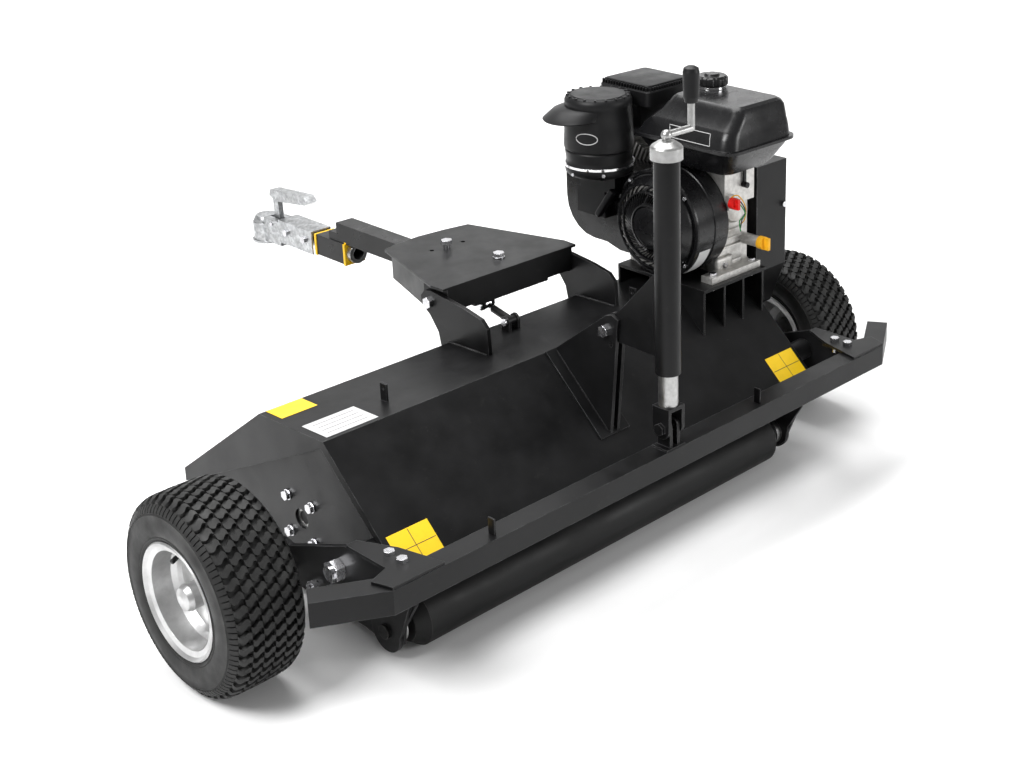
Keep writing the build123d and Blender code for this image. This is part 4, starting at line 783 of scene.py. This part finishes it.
def brim(bm, base, r, h):
    """Swept brim that shields the air inlet; it reaches furthest on one side."""
    facing, half_span, steps = math.radians(150), math.radians(72), 32
    columns = []
    for k in range(steps + 1):
        f = k / steps * 2 - 1
        a = facing + half_span * f
        reach = 52 * MM * max(0.0, math.cos(f * math.pi / 2)) ** 1.1
        skirt = 0.74 * h - 6 * MM * (1 - f * f)
        upper = [(0.93 * r, 0.86 * h), (0.965 * r + reach * 0.55, 0.815 * h), (0.975 * r + reach, skirt)]
        lower = [(0.975 * r + reach - 1.5 * MM, skirt - 2.5 * MM), (0.93 * r + reach * 0.5, 0.79 * h),
                 (0.9 * r, 0.82 * h)]
        columns.append([bm.verts.new(base + Vector((rr * math.cos(a), rr * math.sin(a), z)))
                        for rr, z in upper + lower])
    for first, second in zip(columns, columns[1:]):
        for k in range(6):
            n = (k + 1) % 6
            bm.faces.new((first[k], first[n], second[n], second[k]))
    bm.faces.new(columns[0])
    bm.faces.new(columns[-1])


def build_muffler_guard():
    """Pressed guard with a slotted shoulder all round."""
    lo, hi = low("muffler_guard"), high("muffler_guard")
    bm = bmesh.new()
    levels = [(lo.z, 0, 14), (hi.z - 16 * MM, 0, 14), (hi.z - 13 * MM, 2, 14)]
    rings = [round_rect((lo.x + i * MM, lo.y + i * MM), (hi.x - i * MM, hi.y - i * MM), z, r * MM)
             for z, i, r in levels]
    loft(bm, rings)
    top = [(hi.z - 11 * MM, 12, 10), (hi.z - 3 * MM, 9, 12), (hi.z - 1 * MM, 10, 12), (hi.z, 13, 10)]
    loft(bm, [round_rect((lo.x + i * MM, lo.y + i * MM), (hi.x - i * MM, hi.y - i * MM), z, r * MM)
              for z, i, r in top])
    count = 17
    for k in range(count):
        x = lo.x + 12 * MM + (hi.x - lo.x - 24 * MM) * k / (count - 1)
        y = lo.y + 12 * MM + (hi.y - lo.y - 24 * MM) * k / (count - 1)
        z0, z1 = hi.z - 14 * MM, hi.z - 4 * MM
        w = 1.6 * MM
        for side_y in (lo.y + 2 * MM, hi.y - 14 * MM):
            soft_box(bm, (x - w, side_y, z0), (x + w, side_y + 12 * MM, z1), 0.5 * MM, None, 1)
        for side_x in (lo.x + 2 * MM, hi.x - 14 * MM):
            soft_box(bm, (side_x, y - w, z0), (side_x + 12 * MM, y + w, z1), 0.5 * MM, None, 1)
    piece("muffler_cover", bm, PLASTIC, "deck", 30, ["muffler_guard"])


def build_grip():
    """Starter grip bar with rounded ends, and its cord stub."""
    lo, hi = low("recoil_grip"), high("recoil_grip")
    mid = Vector((lo.x + 10 * MM, (lo.y + hi.y) / 2, (lo.z + hi.z) / 2))
    lean = math.radians(-54)
    turn = Matrix.Translation(mid) @ Matrix.Rotation(lean, 4, "X")
    bm = bmesh.new()
    soft_box(bm, (-9.5 * MM, -45 * MM, -8 * MM), (9 * MM, 45 * MM, 8 * MM), 5 * MM, turn, 4)
    turned(bm, [(0, 4 * MM), (hi.x - mid.x, 4 * MM)], mid, "X", 16)
    turned(bm, [(6 * MM, 9 * MM), (18 * MM, 5.5 * MM)], mid, "X", 20)
    piece("starter_grip", bm, PLASTIC, "recoil_grip", 35, ["recoil_grip"])


# ---- engine details -----------------------------------------------------
def crankcase_details():
    """Castings, bolts, bracket and wires on the rear of the crankcase."""
    lo = low("crankcase")
    axis = engine_axis()
    cast = bmesh.new()
    x0 = lo.x + 66 * MM
    flank = axis.y - 95 * MM
    for k in range(4):
        z = axis.z - 74 * MM + 20 * MM * k
        soft_box(cast, (x0, flank - 5 * MM, z), (x0 + 82 * MM, flank + 12 * MM, z + 5 * MM), 1.5 * MM)
    cover = [(-13 * MM, 26 * MM), (-12 * MM, 33 * MM), (-8 * MM, 37 * MM), (-2 * MM, 39 * MM),
             (12 * MM, 40 * MM)]
    turned(cast, [(-d, r) for d, r in cover], (x0 + 52 * MM, flank, axis.z + 24 * MM), "-Y", 40)
    for dx, dz in ((20, -6), (84, -6), (20, 56), (84, 54)):
        turned(cast, [(7 * MM, 5 * MM), (6 * MM, 8 * MM), (-12 * MM, 9 * MM)],
               (x0 + dx * MM, flank, axis.z + dz * MM), "-Y", 20)
    soft_box(cast, (x0 + 8 * MM, flank - 8 * MM, axis.z + 66 * MM),
             (x0 + 88 * MM, flank + 14 * MM, axis.z + 74 * MM), 2.5 * MM)
    soft_box(cast, (x0 + 30 * MM, flank - 6 * MM, axis.z + 78 * MM),
             (x0 + 80 * MM, flank + 12 * MM, axis.z + 100 * MM), 5 * MM)
    foot = lo.z
    soft_box(cast, (x0 - 14 * MM, flank - 10 * MM, foot + 2 * MM),
             (x0 + 46 * MM, flank + 30 * MM, foot + 42 * MM), 10 * MM, None, 4)
    soft_box(cast, (x0 + 36 * MM, flank - 6 * MM, foot + 2 * MM),
             (x0 + 84 * MM, flank + 20 * MM, foot + 26 * MM), 7 * MM, None, 4)
    piece("crankcase_castings", cast, CAST, "deck")
    bolts = bmesh.new()
    for dx, dz in ((20, -6), (84, -6), (20, 56), (84, 54)):
        hex_head(bolts, (x0 + dx * MM, flank - 6.5 * MM, axis.z + dz * MM), "-Y", 9 * MM, 5 * MM)
    hex_head(bolts, (x0 + 14 * MM, flank - 9.5 * MM, foot + 22 * MM), "-Y", 12 * MM, 6 * MM)
    piece("case_cover_screws", bolts, ZINC, "deck")
    wires = ((YELLOW, "wire_yellow", 6), (PLASTIC, "wire_black", -4), (WIRE_GREEN, "wire_green", -12))
    switch = centre("stop_switch")
    for material, name, shift in wires:
        path = smooth_path([switch + Vector((-4 * MM, 14 * MM, (6 + shift) * MM)),
                            switch + Vector((16 * MM, 6 * MM, (10 + shift) * MM)),
                            switch + Vector((34 * MM, -2 * MM, (-20 + shift) * MM)),
                            switch + Vector(((42 + shift) * MM, 12 * MM, -52 * MM)),
                            switch + Vector((50 * MM, 26 * MM, (-74 + shift) * MM))])
        bm = bmesh.new()
        tube(bm, path, 1.5 * MM, 8)
        piece(name, bm, material, "deck")


# ---- labels, tabs -------------------------------------------------------
def slope_frame(a, b, x, f, lift=0.5 * MM):
    """Place and turn for a flat label on a deck face from profile point a to b; f runs 0 to 1."""
    a, b = Vector(a), Vector(b)
    along = (b - a).normalized()
    normal = Vector((0, -along.z, along.y)) if along.y > 0 else Vector((0, along.z, -along.y))
    at = Vector((x, *(a.lerp(b, f)).yz)) + normal * lift
    return Matrix.Translation(at) @ Matrix(((1, 0, 0), (0, along.y, normal.y), (0, along.z, normal.z))).to_4x4()


def deck_profile():
    """Corners of the deck's outline seen from the left: front lip, two bends, rear lip."""
    points = [(494.0, 189.0), (167.0, 424.0), (-51.0, 434.0), (-285.0, 220.0)]
    shift = low("deck_shell").y - points[3][0] * MM
    return [Vector((0, y * MM + shift, z * MM)) for y, z in points]


def label(name, matrix, width, height, material, border=None):
    bm = bmesh.new()
    soft_box(bm, (-width / 2, -height / 2, -0.4 * MM), (width / 2, height / 2, 0.4 * MM), 0.3 * MM, matrix, 1)
    piece(name, bm, material, "deck")
    if border:
        lines = bmesh.new()
        for x, y, w, h in border:
            soft_box(lines, (x - w / 2, y - h / 2, 0.3 * MM), (x + w / 2, y + h / 2, 0.7 * MM), 0.1 * MM,
                     matrix, 1)
        piece(name + "_lines", lines, LABEL_DARK, "deck")


def labels():
    front_bend, rear_bend, rear_lip = deck_profile()[1:]
    w, h, t = 98 * MM, 76 * MM, 1.4 * MM
    cross = [(0, 0, t, h * 0.96), (0, 0, w * 0.96, t)]
    for name, x in (("label_left", -558 * MM), ("label_right", 561 * MM)):
        label(name, slope_frame(rear_bend, rear_lip, x, 0.82), w, h, LABEL_YELLOW, cross)
    label("label_top", slope_frame(front_bend, rear_bend, -563 * MM, 0.14), 84 * MM, 58 * MM, LABEL_YELLOW)
    rows = [(0, (k - 1.5) * 17 * MM, 96 * MM, 1.2 * MM) for k in range(4)]
    place = slope_frame(front_bend, rear_bend, -541 * MM, 0.76)
    label("type_plate", place, 123 * MM, 84 * MM, LABEL_WHITE, rows)


def beam_tabs():
    """Two small cable tabs, welded on top of the rear beam."""
    lo, hi = low("axle_beam"), high("axle_beam")
    z = hi.z if hi.z < 0.32 else 306 * MM
    y = lo.y + 19 * MM
    bm = bmesh.new()
    for x in (-490 * MM, 280 * MM):
        soft_box(bm, (x, y - 9 * MM, z - 1 * MM), (x + 4 * MM, y + 9 * MM, z + 35 * MM), 1.2 * MM)
    piece("beam_tabs", bm, PAINT, "swing_frame")


def weld(name, path, radius, body, seed):
    """Weld bead: a run of overlapping ripples."""
    rng = random.Random(seed)
    points = []
    for a, b in zip(path, path[1:]):
        a, b = Vector(a), Vector(b)
        steps = max(2, int((b - a).length / (1.6 * MM)))
        points += [a.lerp(b, k / steps) for k in range(steps)]
    points.append(Vector(path[-1]))
    count = len(points)
    phase = rng.random() * 6

    def ripple(f):
        return radius * (0.86 + 0.18 * math.sin(f * count * 1.9 + phase))
    bm = bmesh.new()
    tube(bm, points, ripple, 8)
    piece(name, bm, PAINT, body)


def welds():
    front_bend, rear_bend = deck_profile()[1:3]
    foot = low("jack_gusset")
    for k, x in enumerate((-14.5 * MM, 14.5 * MM)):
        a = Vector((x, rear_bend.y - 8 * MM, rear_bend.z - 3 * MM))
        b = Vector((x, foot.y + 34 * MM, foot.z + 8 * MM))
        weld(f"gusset_weld_{k}", [a, b], 3 * MM, "deck", k)
    for k, x in enumerate((-130.5 * MM, -119.5 * MM, 259.5 * MM, 270.5 * MM)):
        a = Vector((x, front_bend.y, front_bend.z + MM))
        b = Vector((x, low("hitch_lugs").y + 4 * MM, rear_bend.z - 4 * MM))
        weld(f"lug_weld_{k}", [a, b], 3 * MM, "deck", 10 + k)


# ---- stage --------------------------------------------------------------
def stage():
    bm = bmesh.new()
    size, back = 9.0, 7.5
    rows = [(-size, 0.0), (back, 0.0)]
    for k in range(1, 9):
        a = math.radians(90 * k / 8)
        rows.append((back + 2.5 * math.sin(a), 2.5 * (1 - math.cos(a))))
    rows.append((back + 2.5, 9.0))
    turn = Matrix.Rotation(math.radians(-48), 4, "Z")
    made = [[bm.verts.new(turn @ Vector((x, y, z))) for x in (-18, 18)] for y, z in rows]
    for first, second in zip(made, made[1:]):
        bm.faces.new((first[0], first[1], second[1], second[0]))
    mesh = bpy.data.meshes.new("floor")
    bm.to_mesh(mesh)
    bm.free()
    mesh.shade_smooth()
    floor = bpy.data.objects.new("floor", mesh)
    bpy.context.scene.collection.objects.link(floor)
    s = Shader("floor_paper", Roughness=0.9)
    s.colour(s.ramp(s.noise(2, 2), [(0.3, 0.86), (0.7, 0.88)]))
    mesh.materials.append(s.mat)


def area_light(name, at, to, size, power):
    data = bpy.data.lights.new(name, "AREA")
    data.shape = "RECTANGLE"
    data.size, data.size_y = size
    data.energy = power
    obj = bpy.data.objects.new(name, data)
    obj.location = at
    obj.rotation_euler = (Vector(to) - Vector(at)).to_track_quat("-Z", "Y").to_euler()
    bpy.context.scene.collection.objects.link(obj)


def lights():
    world = bpy.data.worlds.new("studio")
    world.use_nodes = True
    world.node_tree.nodes["Background"].inputs["Color"].default_value = (1, 1, 1, 1)
    world.node_tree.nodes["Background"].inputs["Strength"].default_value = 0.42
    bpy.context.scene.world = world
    area_light("key", (-3.0, -0.2, 3.6), (0, -0.2, 0.4), (1.8, 1.8), 190)
    area_light("top", (0.6, 0.8, 4.2), (0, 0, 0.3), (3.0, 3.0), 210)
    area_light("backdrop", (3.0, 2.7, 5.5), (7.4, 6.6, 1.4), (5.0, 2.0), 420)
    area_light("rear_fill", (2.2, -4.0, 1.6), (0.2, 0, 0.5), (1.6, 1.2), 60)


def camera():
    data = bpy.data.cameras.new("camera")
    data.sensor_width = 36.0
    data.lens = 54.74
    data.shift_x, data.shift_y = -0.186, -0.155
    obj = bpy.data.objects.new("camera", data)
    azimuth, elevation = math.radians(-48.05), math.radians(18.82)
    back = Vector((math.sin(azimuth) * math.cos(elevation), -math.cos(azimuth) * math.cos(elevation),
                   math.sin(elevation)))
    obj.location = (-2.1363, -2.7634, 1.7924)
    obj.rotation_euler = (-back).to_track_quat("-Z", "Y").to_euler()
    data.clip_start, data.clip_end = 0.05, 60
    bpy.context.scene.collection.objects.link(obj)
    bpy.context.scene.camera = obj


def main():
    camera()
    stage()
    lights()
    paint_nodes()
    for side in ("left", "right"):
        build_tyre(side)
        valve_stem(side)
    build_starter()
    blower_trim()
    build_tank()
    build_fuel_cap()
    build_cleaner()
    build_muffler_guard()
    build_grip()
    crankcase_details()
    labels()
    beam_tabs()
    welds()


main()
bpy.context.scene.view_settings.view_transform = "Standard"
